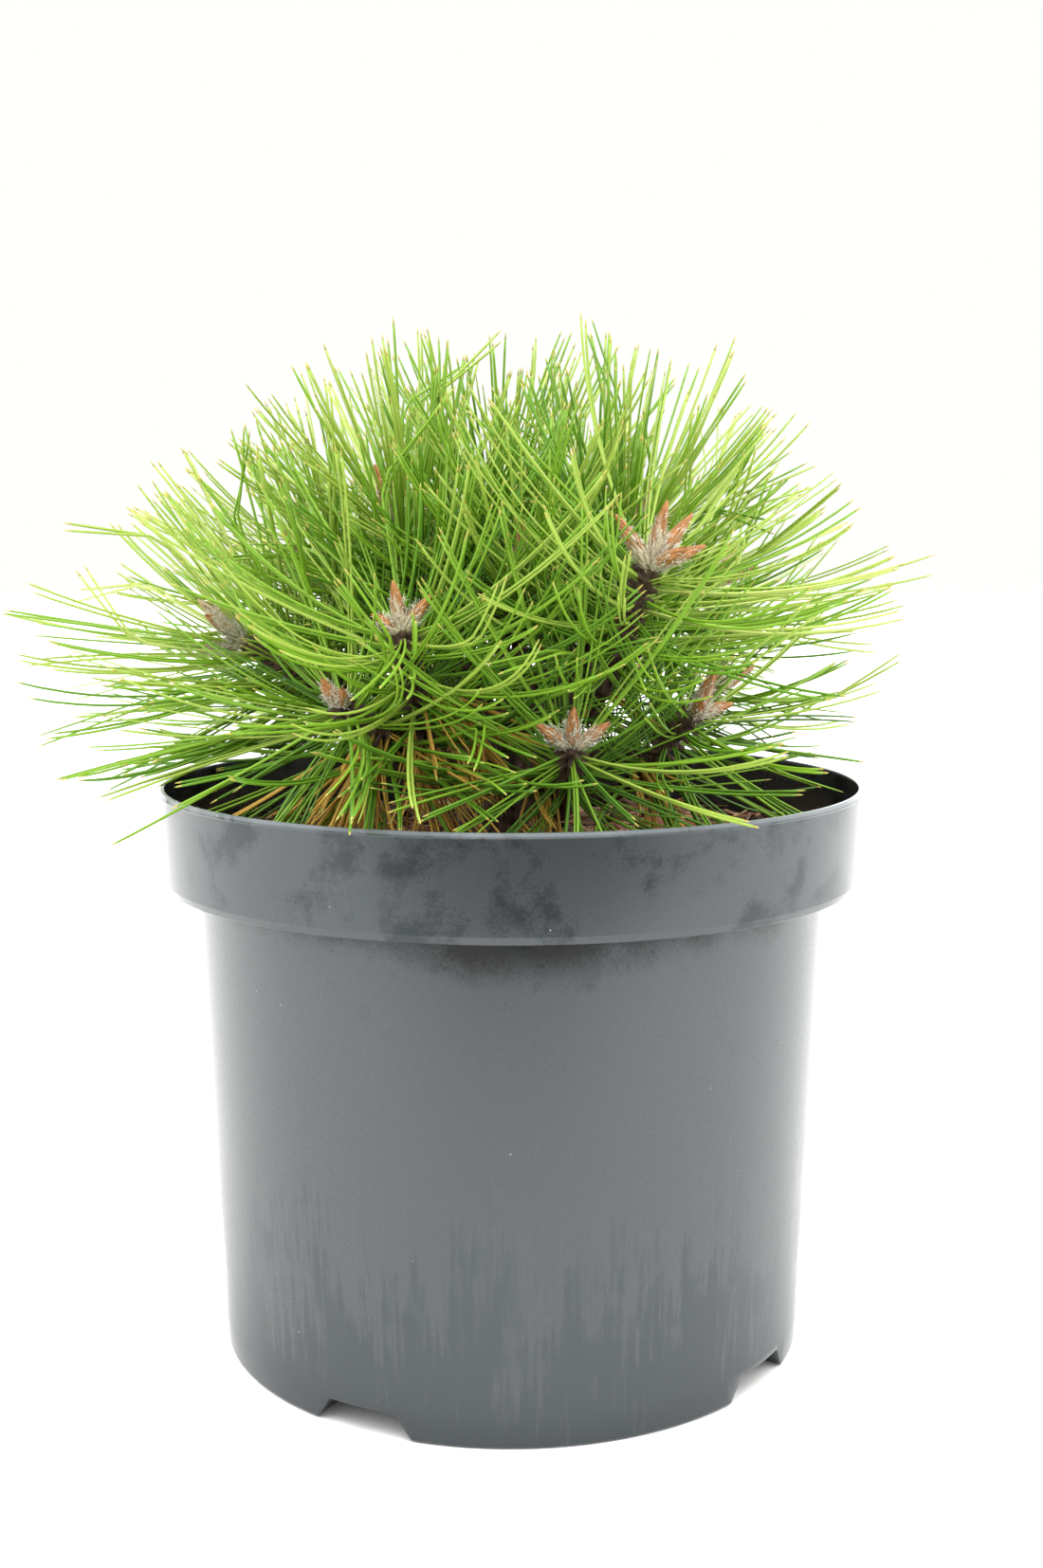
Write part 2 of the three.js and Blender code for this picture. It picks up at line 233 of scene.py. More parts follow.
@dataclass(frozen=True)
class BlackPolypropylene:
    """Injection-moulded black polypropylene: satin slate-black under a dried film of water and dust.

    The film makes it paler and duller. It hangs in runs that end above the foot, and on the collar
    it is wiped off in clouds.

    Attributes:
        film_foot_mm: Height at which the film ends.
        film_fades_mm: How far below and above that height it fades.
        lip_mm: Height of the collar's foot, under which the wall is darkened by a painted shade.
        rim_mm: Height of the rim.
        rim_highlight_mm: How far below the rim the pale painted highlight along its edge starts and is full.
        lime_mm: Height at which lime starts to show in the runs, and at which it is full.
        blotch_mm: Width of the cloudy marks.
        grain_mm: Width of the film's speckles.
        streak_mm: Width of the thin runs.
        tongue_mm: Width of the broad runs.
        dust_mm: Distance between specks of dust.
        skin_mm: Width of the unevenness in the moulded skin.
        lower_shade_mm: Middle and reach of the patch in front where the painted shade under the lip reaches
            lower.
        dim_reflection_mm: Middle and reach of the patch on the collar in front where a lower specular level
            paints a darker reflection.
        ior: Index of refraction, higher than bare plastic's to match the film's glare.
    """

    film_foot_mm: float = 38.0
    film_fades_mm: tuple[float, float] = (12.0, 18.0)
    lip_mm: float = 162.0
    rim_mm: float = 195.0
    rim_highlight_mm: tuple[float, float] = (1.3, 0.7)
    lime_mm: tuple[float, float] = (85.0, 60.0)
    blotch_mm: float = 22.0
    grain_mm: float = 0.8
    streak_mm: float = 1.8
    tongue_mm: float = 9.0
    dust_mm: float = 11.0
    skin_mm: float = 3.0
    lower_shade_mm: tuple[Spot, Spot] = ((12.0, -110.0, 158.0), (62.0, 60.0, 50.0))
    dim_reflection_mm: tuple[Spot, Spot] = ((18.0, -121.0, 193.0), (65.0, 60.0, 32.0))
    ior: float = 1.62

    def patterns(self, tree: Tree, place: Socket) -> dict[str, Node]:
        """Add the noises that break up the film and the skin.

        Args:
            tree: The node tree.
            place: The surface's own coordinates.

        Returns:
            Clouds, speckles, the skin's unevenness, and the runs, which are drawn out upwards, by name.
        """
        rows = {
            "blotch": (self.blotch_mm, 6.0, 1.0),
            "grain": (self.grain_mm, 2.0, 1.0),
            "skin": (self.skin_mm, 3.0, 1.0),
            "streak": (self.streak_mm, 3.0, 0.05),
            "tongue": (self.tongue_mm, 3.0, 0.16),
        }
        noise = {}
        for name, (size, detail, upward) in rows.items():
            drawn_out = add_node(tree, "Mapping", {"Vector": place, "Scale": (1.0, 1.0, upward)})
            inputs = {"Vector": drawn_out, "Scale": 1 / (size * MM), "Detail": detail, "Roughness": 0.6}
            noise[name] = add_node(tree, "TexNoise", inputs)
        return noise

    def film(self, tree: Tree, height: Socket, noise: dict[str, Node]) -> tuple[Node, Node]:
        """Lay the film.

        Args:
            tree: The node tree.
            height: Height over the underside.
            noise: The patterns.

        Returns:
            Where the film lies and how thick it is, both from 0 to 1.
        """
        foot, lip = self.film_foot_mm * MM, self.lip_mm * MM
        below, above = (far * MM for far in self.film_fades_mm)
        uneven = [(noise["streak"], 0.16), (noise["tongue"], 0.12), (noise["blotch"], 0.12), (height, 1.0)]
        # Noise averages one half, so the sum starts at minus half of the noises' weights.
        runs = weighted(tree, uneven, -0.2)
        hung = add_node(tree, "MapRange", {0: runs, 1: foot - below, 2: foot + above})
        # On the wall the film lies nearly everywhere, and on the collar in clouds.
        collar = add_node(tree, "MapRange", {0: height, 1: lip - 0.03, 2: lip + 0.002, 3: -0.16, 4: 0.02})
        cloudy = weighted(tree, [(noise["blotch"], 1.0), (noise["grain"], 0.18), (collar, -1.0)], 0.0)
        cloud = add_node(tree, "MapRange", {0: cloudy, 1: 0.46, 2: 0.58, 3: 0.05, 4: 1.0})
        lies = add_node(tree, "Math", {0: hung, 1: cloud}, operation="MULTIPLY")
        speckles = add_node(tree, "MapRange", {0: noise["grain"], 1: 0.36, 2: 0.62, 3: 0.8, 4: 1.0})
        speckled = add_node(tree, "Math", {0: lies, 1: speckles}, operation="MULTIPLY")
        thinner = add_node(tree, "MapRange", {0: height, 1: lip - 0.004, 2: lip + 0.001, 3: 1.0, 4: 0.6})
        return lies, add_node(tree, "Math", {0: speckled, 1: thinner}, operation="MULTIPLY")

    def painted_lip_shade(self, tree: Tree, place: Socket, height: Socket, noise: dict[str, Node]) -> Node:
        """Mark the ragged strip of painted shade under the lip, which hangs lower in a patch in front.

        Args:
            tree: The node tree.
            place: The surface's own coordinates.
            height: Height over the underside.
            noise: The patterns.

        Returns:
            The mark.
        """
        lip = self.lip_mm * MM
        lower_shade = patch_at(tree, place, *self.lower_shade_mm)
        uneven = [(height, 1.0), (noise["blotch"], 0.03), (noise["grain"], 0.014), (lower_shade, 0.013)]
        ragged = weighted(tree, uneven, -0.0275)
        over = add_node(tree, "MapRange", {0: ragged, 1: lip - 0.012, 2: lip - 0.0005, 4: 0.9})
        under = add_node(tree, "MapRange", {0: height, 1: lip + 0.0004, 2: lip})
        return add_node(tree, "Math", {0: over, 1: under}, operation="MULTIPLY")

    def lime(self, tree: Tree, height: Socket, noise: dict[str, Node]) -> Node:
        """Mark the faint lime that has dried in the lowest runs.

        Args:
            tree: The node tree.
            height: Height over the underside.
            noise: The patterns.

        Returns:
            The mark.
        """
        starts, full = (high * MM for high in self.lime_mm)
        low = add_node(tree, "MapRange", {0: height, 1: starts, 2: full})
        runs = weighted(tree, [(noise["streak"], 0.4), (noise["tongue"], 0.6), (height, 2.0)], -0.1)
        crust = add_node(tree, "MapRange", {0: runs, 1: 0.55, 2: 0.62, 4: 0.025})
        return add_node(tree, "Math", {0: low, 1: crust}, operation="MULTIPLY")

    def build(self) -> Material:
        """Make the material.

        Returns:
            The material, with the film and the marks laid over its colour one by one.
        """
        material, tree, shader = principled("black_polypropylene")
        place = add_node(tree, "TexCoord").outputs["Object"]
        height = add_node(tree, "SeparateXYZ", {0: place}).outputs["Z"]
        noise = self.patterns(tree, place)
        lies, film = self.film(tree, height, noise)
        lip_shade = self.painted_lip_shade(tree, place, height, noise)
        # A pale strip along the rim's edge is a painted highlight.
        starts, full = ((self.rim_mm - down) * MM for down in self.rim_highlight_mm)
        rim_highlight = add_node(tree, "MapRange", {0: height, 1: starts, 2: full, 4: 0.7})
        specks = add_node(tree, "TexVoronoi", {"Vector": place, "Scale": 1 / (self.dust_mm * MM)})
        dust = add_node(tree, "MapRange", {0: specks, 1: 0.022, 2: 0.014, 4: 0.7})
        filmed = add_node(tree, "ValToRGB", {0: film}, ((0.0, "1d2124"), (0.5, "282b2c"), (1.0, "333536")))
        colour = filmed.outputs["Color"]
        lime = self.lime(tree, height, noise)
        # The first colour below is painted shade on the wall just under the lip; lime and dust are real
        # marks.
        for share, shade in ((lip_shade, "191614"), (lime, "6c7173"), (rim_highlight, "5d6366"), (dust, "b9bcbd")):
            mixed = add_node(tree, "Mix", {0: share, 6: colour, 7: linear(shade)}, data_type="RGBA")
            colour = mixed.outputs[2]
        lip = self.lip_mm * MM
        upper = add_node(tree, "MapRange", {0: height, 1: lip - 0.004, 2: lip + 0.001, 4: 0.17})
        absent = add_node(tree, "MapRange", {0: lies, 1: 0.9, 2: 0.1})
        smudge = add_node(tree, "Math", {0: upper, 1: absent}, operation="MULTIPLY")
        # A soft patch on the collar's front lowers the specular level: a painted darker reflection.
        dim_reflection = patch_at(tree, place, *self.dim_reflection_mm)
        relief = add_node(tree, "Bump", {"Height": noise["skin"], "Strength": 0.1, "Distance": 0.1 * MM})
        inputs = {
            "Base Color": colour,
            "Roughness": add_node(tree, "MapRange", {0: film, 3: 0.12, 4: 0.28}),
            "IOR": self.ior,
            # Under the lip the lower specular level is painted shade as well.
            "Specular IOR Level": weighted(tree, [(lip_shade, -0.34), (smudge, -1.0), (dim_reflection, -0.3)], 0.5),
            "Specular Tint": linear("f2faff"),
            "Normal": relief,
        }
        connect(tree, shader, inputs)
        return material


@dataclass(frozen=True)
class ScalyBark:
    """Young pine bark: thin rough scales, grey-brown with paler edges over a darker red-brown.

    Attributes:
        scale_mm: Width of one scale of bark.
        grain_mm: Width of the grain on a scale.
        upward: Width of a scale next to its length.
    """

    scale_mm: float = 3.2
    grain_mm: float = 0.9
    upward: float = 0.6

    def build(self) -> Material:
        """Make the material.

        Returns:
            The material, whose scales run up the wood.
        """
        material, tree, shader = principled("scaly_pine_bark")
        place = add_node(tree, "TexCoord").outputs["Object"]
        drawn_out = add_node(tree, "Mapping", {"Vector": place, "Scale": (1.0, 1.0, self.upward)})
        scales = add_node(tree, "TexVoronoi", {"Vector": drawn_out, "Scale": 1 / (self.scale_mm * MM)})
        inputs = {"Vector": place, "Scale": 1 / (self.grain_mm * MM), "Detail": 4.0, "Roughness": 0.7}
        grain = add_node(tree, "TexNoise", inputs)
        mixed = add_node(tree, "Math", {0: scales, 1: grain}, operation="ADD")
        toned = add_node(tree, "MapRange", {0: mixed, 1: 0.45, 2: 1.3})
        stops = ((0.0, "7d6a5a"), (0.4, "5d4839"), (0.75, "3f2d22"), (1.0, "291c15"))
        colour = add_node(tree, "ValToRGB", {0: toned}, stops)
        relief = add_node(tree, "Bump", {"Height": mixed, "Strength": 0.6, "Distance": 0.4 * MM}, invert=True)
        connect(tree, shader, {"Base Color": colour, "Roughness": 0.9, "Normal": relief})
        return material


@dataclass(frozen=True)
class BarkMix:
    """Composted pine bark and peat: crumbs from near-black to red-brown.

    Attributes:
        crumb_mm: Size of the crumbs between the chips.
    """

    crumb_mm: float = 2.4

    def build(self) -> Material:
        """Make the material.

        Returns:
            The material, crumbly in colour and relief.
        """
        material, tree, shader = principled("composted_bark")
        place = add_node(tree, "TexCoord").outputs["Object"]
        inputs = {"Vector": place, "Scale": 1 / (self.crumb_mm * MM), "Detail": 5.0, "Roughness": 0.75}
        crumbs = add_node(tree, "TexNoise", inputs)
        stops = ((0.3, "1b120d"), (0.5, "3a271c"), (0.62, "5d3f2d"), (0.75, "8a6247"))
        colour = add_node(tree, "ValToRGB", {0: crumbs}, stops)
        relief = add_node(tree, "Bump", {"Height": crumbs, "Strength": 0.8, "Distance": 1.0 * MM})
        connect(tree, shader, {"Base Color": colour, "Roughness": 0.95, "Normal": relief})
        return material


# Shared ways of making meshes


def unit(vectors: Array) -> Array:
    """Scale vectors, along the last axis, to length 1."""
    return vectors / np.maximum(np.linalg.norm(vectors, axis=-1, keepdims=True), TINY)


def lerp(low: float, high: float, share: Array | float) -> Array | float:
    """Go a share of the way from low to high."""
    return low + (high - low) * share


def bezier(points: list[Array], share: Array) -> Array:
    """Find points on a cubic Bezier.

    Args:
        points: Its start, two handles and end.
        share: How far along, from 0 to 1, one value a point.

    Returns:
        The points, one row each.
    """
    t = np.asarray(share, float)[:, None]
    start, leave, arrive, end = points
    return (1 - t) ** 3 * start + 3 * t * (1 - t) ** 2 * leave + 3 * t**2 * (1 - t) * arrive + t**3 * end


def square_to(direction: Array, rng: np.random.Generator) -> Array:
    """Make unit vectors at right angles to directions, turned at random."""
    return unit(np.cross(direction, rng.normal(size=direction.shape)))


def deselect_all() -> None:
    """Leave object mode with nothing selected."""
    if bpy.context.object and bpy.context.object.mode != "OBJECT":
        bpy.ops.object.mode_set(mode="OBJECT")
    bpy.ops.object.select_all(action="DESELECT")


def make_active(piece: Piece) -> None:
    """Select one object alone and make it the active one.

    Args:
        piece: The object.
    """
    deselect_all()
    piece.select_set(True)
    bpy.context.view_layer.objects.active = piece


def apply_modifier(piece: Piece, kind: str, **settings: object) -> None:
    """Add a modifier and apply it.

    Args:
        piece: The object.
        kind: The modifier's type.
        **settings: The modifier's attributes.
    """
    make_active(piece)
    modifier = piece.modifiers.new(kind.lower(), kind)
    for name, value in settings.items():
        setattr(modifier, name, value)
    bpy.ops.object.modifier_apply(modifier=modifier.name)


def displace(piece: Piece, kind: str, size: float, strength: float, **settings: object) -> None:
    """Push a mesh in and out by a procedural texture.

    Args:
        piece: The object.
        kind: The texture's type.
        size: Width of its features.
        strength: How far apart it pushes its lowest and highest points.
        **settings: Further attributes of the modifier.
    """
    texture = bpy.data.textures.new("relief", kind)
    texture.noise_scale = size * MM
    settings |= {"texture": texture, "texture_coords": "LOCAL", "strength": strength * MM}
    apply_modifier(piece, "DISPLACE", **settings)
    bpy.data.textures.remove(texture)


def drawn(name: str, outline: Profile) -> Piece:
    """Draw a line of points in the upright plane, and leave it selected in edit mode.

    Args:
        name: The object's name.
        outline: How far out and how high each point is, in millimetres.

    Returns:
        The object.
    """
    deselect_all()
    first = outline[0]
    bpy.ops.mesh.primitive_plane_add(size=MM, location=(first[0] * MM, 0, first[1] * MM))
    piece = bpy.context.object
    piece.name = name
    bpy.ops.object.transform_apply(location=True, rotation=True, scale=True)
    bpy.ops.object.mode_set(mode="EDIT")
    bpy.ops.mesh.select_mode(type="VERT")
    bpy.ops.mesh.select_all(action="SELECT")
    bpy.ops.mesh.merge(type="CENTER")
    for (out, height), (was_out, was_height) in zip(outline[1:], outline):
        move = ((out - was_out) * MM, 0, (height - was_height) * MM)
        bpy.ops.mesh.extrude_region_move(TRANSFORM_OT_translate={"value": move})
    bpy.ops.mesh.select_all(action="SELECT")
    return piece


def spun(name: str, profile: Profile, steps: int) -> Piece:
    """Spin a drawn profile once round the upright axis, as on a lathe.

    Args:
        name: The object's name.
        profile: Radius and height of its points, in millimetres, from the axis round to the axis.
        steps: How many flats go round.

    Returns:
        The closed body.
    """
    piece = drawn(name, profile)
    bpy.ops.mesh.spin(steps=steps, angle=2 * math.pi, center=(0, 0, 0), axis=(0, 0, 1))
    bpy.ops.mesh.select_all(action="SELECT")
    bpy.ops.mesh.remove_doubles(threshold=WELD)
    bpy.ops.mesh.normals_make_consistent(inside=False)
    bpy.ops.object.mode_set(mode="OBJECT")
    return piece


def pushed(name: str, outline: Profile, near: float, far: float, angle: float) -> Piece:
    """Push a drawn outline from one distance to another towards the front, then turn it about the axis.

    Args:
        name: The object's name.
        outline: Its points, once round.
        near: Distance of its inner end from the axis, in millimetres.
        far: Distance of its outer end.
        angle: Degrees from the front, to the right.

    Returns:
        The closed body.
    """
    piece = drawn(name, outline)
    bpy.ops.mesh.edge_face_add()
    bpy.ops.transform.translate(value=(0, -near * MM, 0))
    bpy.ops.mesh.extrude_region_move(TRANSFORM_OT_translate={"value": (0, (near - far) * MM, 0)})
    bpy.ops.mesh.select_all(action="SELECT")
    bpy.ops.mesh.normals_make_consistent(inside=False)
    turn = math.radians(angle)
    bpy.ops.transform.rotate(value=-turn, orient_axis="Z", center_override=(0, 0, 0), orient_type="GLOBAL")
    bpy.ops.object.mode_set(mode="OBJECT")
    return piece


def joined(pieces: list[Piece]) -> Piece:
    """Join objects.

    Args:
        pieces: The objects.

    Returns:
        The first of them, which the others are now part of.
    """
    deselect_all()
    for piece in pieces:
        piece.select_set(True)
    bpy.context.view_layer.objects.active = pieces[0]
    bpy.ops.object.join()
    return pieces[0]


def rounded(profile: Profile, radii: dict[int, float], steps: int = 4, support: float = 0.12) -> Profile:
    """Round some corners of a profile.

    Args:
        profile: Its points.
        radii: Radius of the rounding at each corner's place in the list.
        steps: How many flats each rounding has.
        support: Length of the short flat on both sides, which keeps the long flats' shading even.

    Returns:
        The profile with an arc of points at those corners.
    """
    out: Profile = []
    for index, point in enumerate(profile):
        if index not in radii:
            out.append(point)
            continue
        corner = np.array(point)
        before, after = (unit(np.array(profile[index + side]) - corner) for side in (-1, 1))
        half = math.acos(float(np.clip(before @ after, -1, 1))) / 2
        reach = radii[index] / math.tan(half)
        centre = corner + unit(before + after) * radii[index] / math.sin(half)
        start, end = corner + before * reach, corner + after * reach
        out.append(tuple(start + before * support))
        for step in range(steps + 1):
            spoke = unit(lerp(start - centre, end - centre, step / steps))
            out.append(tuple(centre + spoke * radii[index]))
        out.append(tuple(end + after * support))
    return out


def swept(paths: Array, widths: Array, section: Array, facing: Array) -> tuple[Array, Array]:
    """Sweep one cross-section along many paths at once.

    Args:
        paths: Points in millimetres, shaped (bars, points, 3).
        widths: Size of the section at each point, shaped (bars, points).
        section: Corners of the section, anticlockwise, shaped (corners, 2).
        facing: The way that the section's second axis looks, shaped (bars, 3) or (bars, points, 3).

    Returns:
        The vertices and the four-sided faces of the bars, open at both ends.
    """
    bars, points, _ = paths.shape
    corners = len(section)
    along = unit(np.gradient(paths, axis=1))
    look = facing if facing.ndim == 3 else np.repeat(facing[:, None], points, axis=1)
    across = unit(np.cross(look, along))
    deep = np.cross(along, across)
    ring = section[None, None, :, :1] * across[:, :, None] + section[None, None, :, 1:] * deep[:, :, None]
    vertices = paths[:, :, None] + ring * widths[:, :, None, None]
    start = np.arange(bars)[:, None, None] * points * corners + np.arange(points - 1)[None, :, None] * corners
    here = np.arange(corners)[None, None, :]
    there = (here + 1) % corners
    quads = np.stack([start + here, start + there, start + corners + there, start + corners + here], axis=-1)
    return vertices.reshape(-1, 3), quads.reshape(-1, 4)


def swept_caps(bars: int, points: int, corners: int) -> Array:
    """Close both ends of four-cornered swept bars.

    Args:
        bars: How many bars.
        points: Points along each.
        corners: Corners of the section.

    Returns:
        One face for each end.
    """
    first = np.arange(bars)[:, None] * points * corners
    last = first + (points - 1) * corners
    ends = np.arange(corners)
    return np.concatenate([first + ends[::-1], last + ends])


@dataclass
class Heap:
    """Vertices and faces gathered for one piece that is joined from many small things.

    Attributes:
        vertices: Arrays of points in millimetres.
        faces: Arrays of vertex numbers, one row a face.
        count: Vertices so far.
    """

    vertices: list[Array] = field(default_factory=list)
    faces: list[Array] = field(default_factory=list)
    count: int = 0

    def bars(self, paths: Array, widths: Array, section: Array, facing: Array) -> None:
        """Add closed bars of one section along many paths.

        Args:
            paths: Points in millimetres, shaped (bars, points, 3).
            widths: Size of the section at each point.
            section: Corners of the section, anticlockwise.
            facing: The way that the section's second axis looks.
        """
        if not len(paths):
            return
        vertices, quads = swept(paths, widths, section, facing)
        caps = swept_caps(len(paths), paths.shape[1], len(section))
        for faces in (quads, caps):
            self.faces.append(faces + self.count)
        self.vertices.append(vertices)
        self.count += len(vertices)

    def make(self, name: str, smooth: bool = True) -> Piece:
        """Turn the heap into an object.

        Args:
            name: The piece's name.
            smooth: Whether its faces are shaded smooth.

        Returns:
            The object, at the origin, in metres.
        """
        mesh = bpy.data.meshes.new(name)
        polygons = [row for faces in self.faces for row in faces.tolist()]
        mesh.from_pydata((np.concatenate(self.vertices) * MM).tolist(), [], polygons)
        mesh.polygons.foreach_set("use_smooth", [smooth] * len(mesh.polygons))
        mesh.update()
        piece = bpy.data.objects.new(name, mesh)
        bpy.context.scene.collection.objects.link(piece)
        return piece


def dress(piece: Piece, finish: object, slot: str, *nodes: str) -> None:
    """Give a finished piece its material, hide the CAD nodes that it stands for, and attach it to its body.

    Args:
        piece: The object.
        finish: Anything with a build method that makes a material.
        slot: The record's material slot, which is not used.
        *nodes: CAD nodes that the piece replaces.
    """
    piece.data.materials.clear()
    piece.data.materials.append(finish.build())
    if nodes:
        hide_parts(*nodes)
    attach(piece, BODY)
    log.info("%s: %d faces", piece.name, len(piece.data.polygons))


# Container


@dataclass
class NurseryTub:
    """The moulded container, with the source's sizes and a finer wall.

    Attributes:
        height: From its underside to its rim.
        rim_radius: Outside radius at the rim.
        collar_foot_radius: Outside radius at the collar's foot.
        collar_foot_z: Height of the collar's foot.
        collar_lip: Height of the slanted lip at the collar's foot.
        lip_slant: How far that lip slants inwards.
        wall_top_radius: Outside radius of the wall where it meets the collar.
        foot_radius: Outside radius of the underside.
        wall: Thickness of the wall.
        sides: How many flats go round.
        channel_angles: Where the drainage channels open, in degrees from the front, to the right.
        channel_height: Height of a channel.
        channel_foot_width: Width of a channel at the underside.
        channel_crown_width: Width of a channel at its top.
        channel_inner_radius: How close to the axis a channel reaches.
        drain_radius: Radius of the hole over each channel.
        drain_distance: Distance of that hole from the axis.
        seam_z: Height of the fine step between the foot and the wall.
        seam_step: How far the wall steps in there.
        rim_bead: How far in from the rim's radius, and how far down from the rim, its bead's points are.
        edge_round: Radius of the edges where the channels open through the wall.
    """

    height: float = 195.0
    rim_radius: float = 121.5
    collar_foot_radius: float = 120.0
    collar_foot_z: float = 162.0
    collar_lip: float = 2.5
    lip_slant: float = 0.9
    wall_top_radius: float = 108.5
    foot_radius: float = 101.5
    wall: float = 1.5
    sides: int = 192
    channel_angles: tuple[float, ...] = (-27.5, 54.5, 152.5, 234.5)
    channel_height: float = 8.0
    channel_foot_width: float = 35.0
    channel_crown_width: float = 24.0
    channel_inner_radius: float = 62.0
    drain_radius: float = 5.0
    drain_distance: float = 84.0
    seam_z: float = 10.5
    seam_step: float = 0.12
    rim_bead: tuple[tuple[float, float], ...] = ((0.2, 1.8), (0.0, 1.5), (1.0, 0.0))
    edge_round: float = 0.35

    def wall_radius(self, height: float) -> float:
        """Find the outside radius of the plain wall at a height."""
        return lerp(self.foot_radius, self.wall_top_radius, height / self.collar_foot_z)

    def shell(self) -> Piece:
        """Spin the tub without its channels.

        Returns:
            The closed body, with its corners rounded.
        """
        shelf = self.collar_foot_z + self.wall
        seam = self.wall_radius(self.seam_z)
        profile = [
            (0.0, 0.0),
            (self.foot_radius, 0.0),
            (seam, self.seam_z),
            (seam - self.seam_step, self.seam_z + 0.4),
            (self.wall_top_radius - self.seam_step, self.collar_foot_z),
            (self.collar_foot_radius - self.lip_slant, self.collar_foot_z),
            (self.collar_foot_radius, self.collar_foot_z + self.collar_lip),
            *((self.rim_radius - inward, self.height - down) for inward, down in self.rim_bead),
            (self.rim_radius - self.wall - 0.6, self.height),
            (self.collar_foot_radius - self.wall, shelf),
            (self.wall_top_radius - self.wall, shelf),
            (self.foot_radius - self.wall, self.wall),
            (0.0, self.wall),
        ]
        softened = {1: 0.9, 4: 1.2, 5: 0.5, 6: 0.7, 9: 0.3, 10: 0.3, 11: 1.2, 12: 1.5, 13: 2.5}
        return spun("tub", rounded(profile, softened), self.sides)

    def channel(self, angle: float) -> Piece:
        """Model the space of one drainage channel, flared where it meets the underside.

        Args:
            angle: Degrees from the front, to the right.

        Returns:
            A long body with sloping sides and rounded corners.
        """
        foot, crown, high = self.channel_foot_width / 2, self.channel_crown_width / 2, self.channel_height
        flare, below, skin = foot + 5, -3.0, -0.02
        half = [(flare, below), (flare, skin), (foot, skin), (crown, high)]
        softened = {2: 1.6, 3: 2.4, 4: 2.4, 5: 1.6}
        outline = rounded(half + [(-x, z) for x, z in half[::-1]], softened, 6)
        return pushed("channel", outline, self.channel_inner_radius, self.rim_radius, angle)

    def hood(self, angle: float) -> Piece:
        """Model the body that covers one channel inside the tub, still uncut.

        Args:
            angle: Degrees from the front, to the right.

        Returns:
            A long body, one wall thicker than the channel.
        """
        foot, crown = self.channel_foot_width / 2 + self.wall, self.channel_crown_width / 2 + self.wall
        high, low = self.channel_height + self.wall, self.wall / 2
        outline = rounded([(foot, low), (crown, high), (-crown, high), (-foot, low)], {1: 3.6, 2: 3.6}, 6)
        return pushed("hood", outline, self.channel_inner_radius - self.wall, self.rim_radius, angle)

    def plug(self) -> Piece:
        """Spin a low body that ends within the wall, to trim the hoods.

        Returns:
            The closed body.
        """
        within = self.wall / 2
        top = 30.0
        foot, upper = self.foot_radius - within, self.wall_radius(top) - within
        return spun("plug", [(0.0, 0.0), (foot, 0.0), (upper, top), (0.0, top)], self.sides)

    def drain(self, angle: float) -> Piece:
        """Model the space of one drain hole, through the hood over a channel.

        Args:
            angle: Degrees from the front, to the right.

        Returns:
            A short cylinder.
        """
        place = math.radians(angle)
        out = self.drain_distance * MM
        deselect_all()
        bpy.ops.mesh.primitive_cylinder_add(
            vertices=24,
            radius=self.drain_radius * MM,
            depth=6 * MM,
            location=(out * math.sin(place), -out * math.cos(place), (self.channel_height + 0.5) * MM),
        )
        drain = bpy.context.object
        bpy.ops.object.transform_apply(location=True, rotation=True, scale=True)
        return drain

    def combine(self, tub: Piece, other: Piece, operation: str) -> None:
        """Join another body to the tub, cut it out or keep what both share, and remove it."""
        apply_modifier(tub, "BOOLEAN", operation=operation, object=other, solver="EXACT")
        bpy.data.objects.remove(other)

    def soften(self, tub: Piece) -> None:
        """Round the sharp edges where the channels open through the wall.

        Args:
            tub: The cut tub.
        """
        make_active(tub)
        bpy.ops.object.mode_set(mode="EDIT")
        bpy.ops.mesh.select_mode(type="EDGE")
        bpy.ops.mesh.select_all(action="DESELECT")
        bpy.ops.mesh.edges_select_sharp(sharpness=math.radians(45))
        bpy.ops.object.mode_set(mode="OBJECT")
        ends = [v.co for v in tub.data.vertices]
        outside = (self.foot_radius - 0.3) * MM
        top = (self.channel_height + 1) * MM
        for edge in tub.data.edges:
            opens = all(ends[v].z < top and ends[v].xy.length > outside for v in edge.vertices)
            edge.select = edge.select and opens
        bpy.ops.object.mode_set(mode="EDIT")
        bpy.ops.mesh.bevel(offset=self.edge_round * MM, segments=2, affect="EDGES")
        bpy.ops.object.mode_set(mode="OBJECT")
        for vertex in tub.data.vertices:
            vertex.co.z = max(vertex.co.z, 0.0)

    def build(self) -> None:
        """Model the tub and dress it."""
        tub = self.shell()
        hoods = joined([self.hood(angle) for angle in self.channel_angles])
        self.combine(hoods, self.plug(), "INTERSECT")
        self.combine(tub, hoods, "UNION")
        for cut in (self.channel, self.drain):
            self.combine(tub, joined([cut(angle) for angle in self.channel_angles]), "DIFFERENCE")
        self.soften(tub)
        make_active(tub)
        bpy.ops.object.shade_smooth_by_angle(angle=math.radians(28))
        dress(tub, BlackPolypropylene(), "tub_plastic", "pot")


# Growth, by the source's rule


@dataclass(frozen=True)
class Shoot:
    """One needle-bearing shoot, with the source's sizes.

    Attributes:
        name: As in the source.
        tip: Where it ends, at the foot of its buds.
        points: The way it points.
        carries: Length that carries needles.
        needle: Length of its needles.
        leaves_at: Height at which its bough leaves the stem, or None for the leader.
        buds: How many buds it ends in.
    """

    name: str
    tip: Spot
    points: Spot
    carries: float
    needle: float
    leaves_at: float | None
    buds: int

    @property
    def end(self) -> Array:
        """The foot of its buds."""
        return np.array(self.tip, float)

    @property
    def direction(self) -> Array:
        """The way it points, with length 1."""
        return unit(np.array(self.points, float))

    @property
    def foot(self) -> Array:
        """Where its bough ends."""
        return self.end - self.direction * self.carries


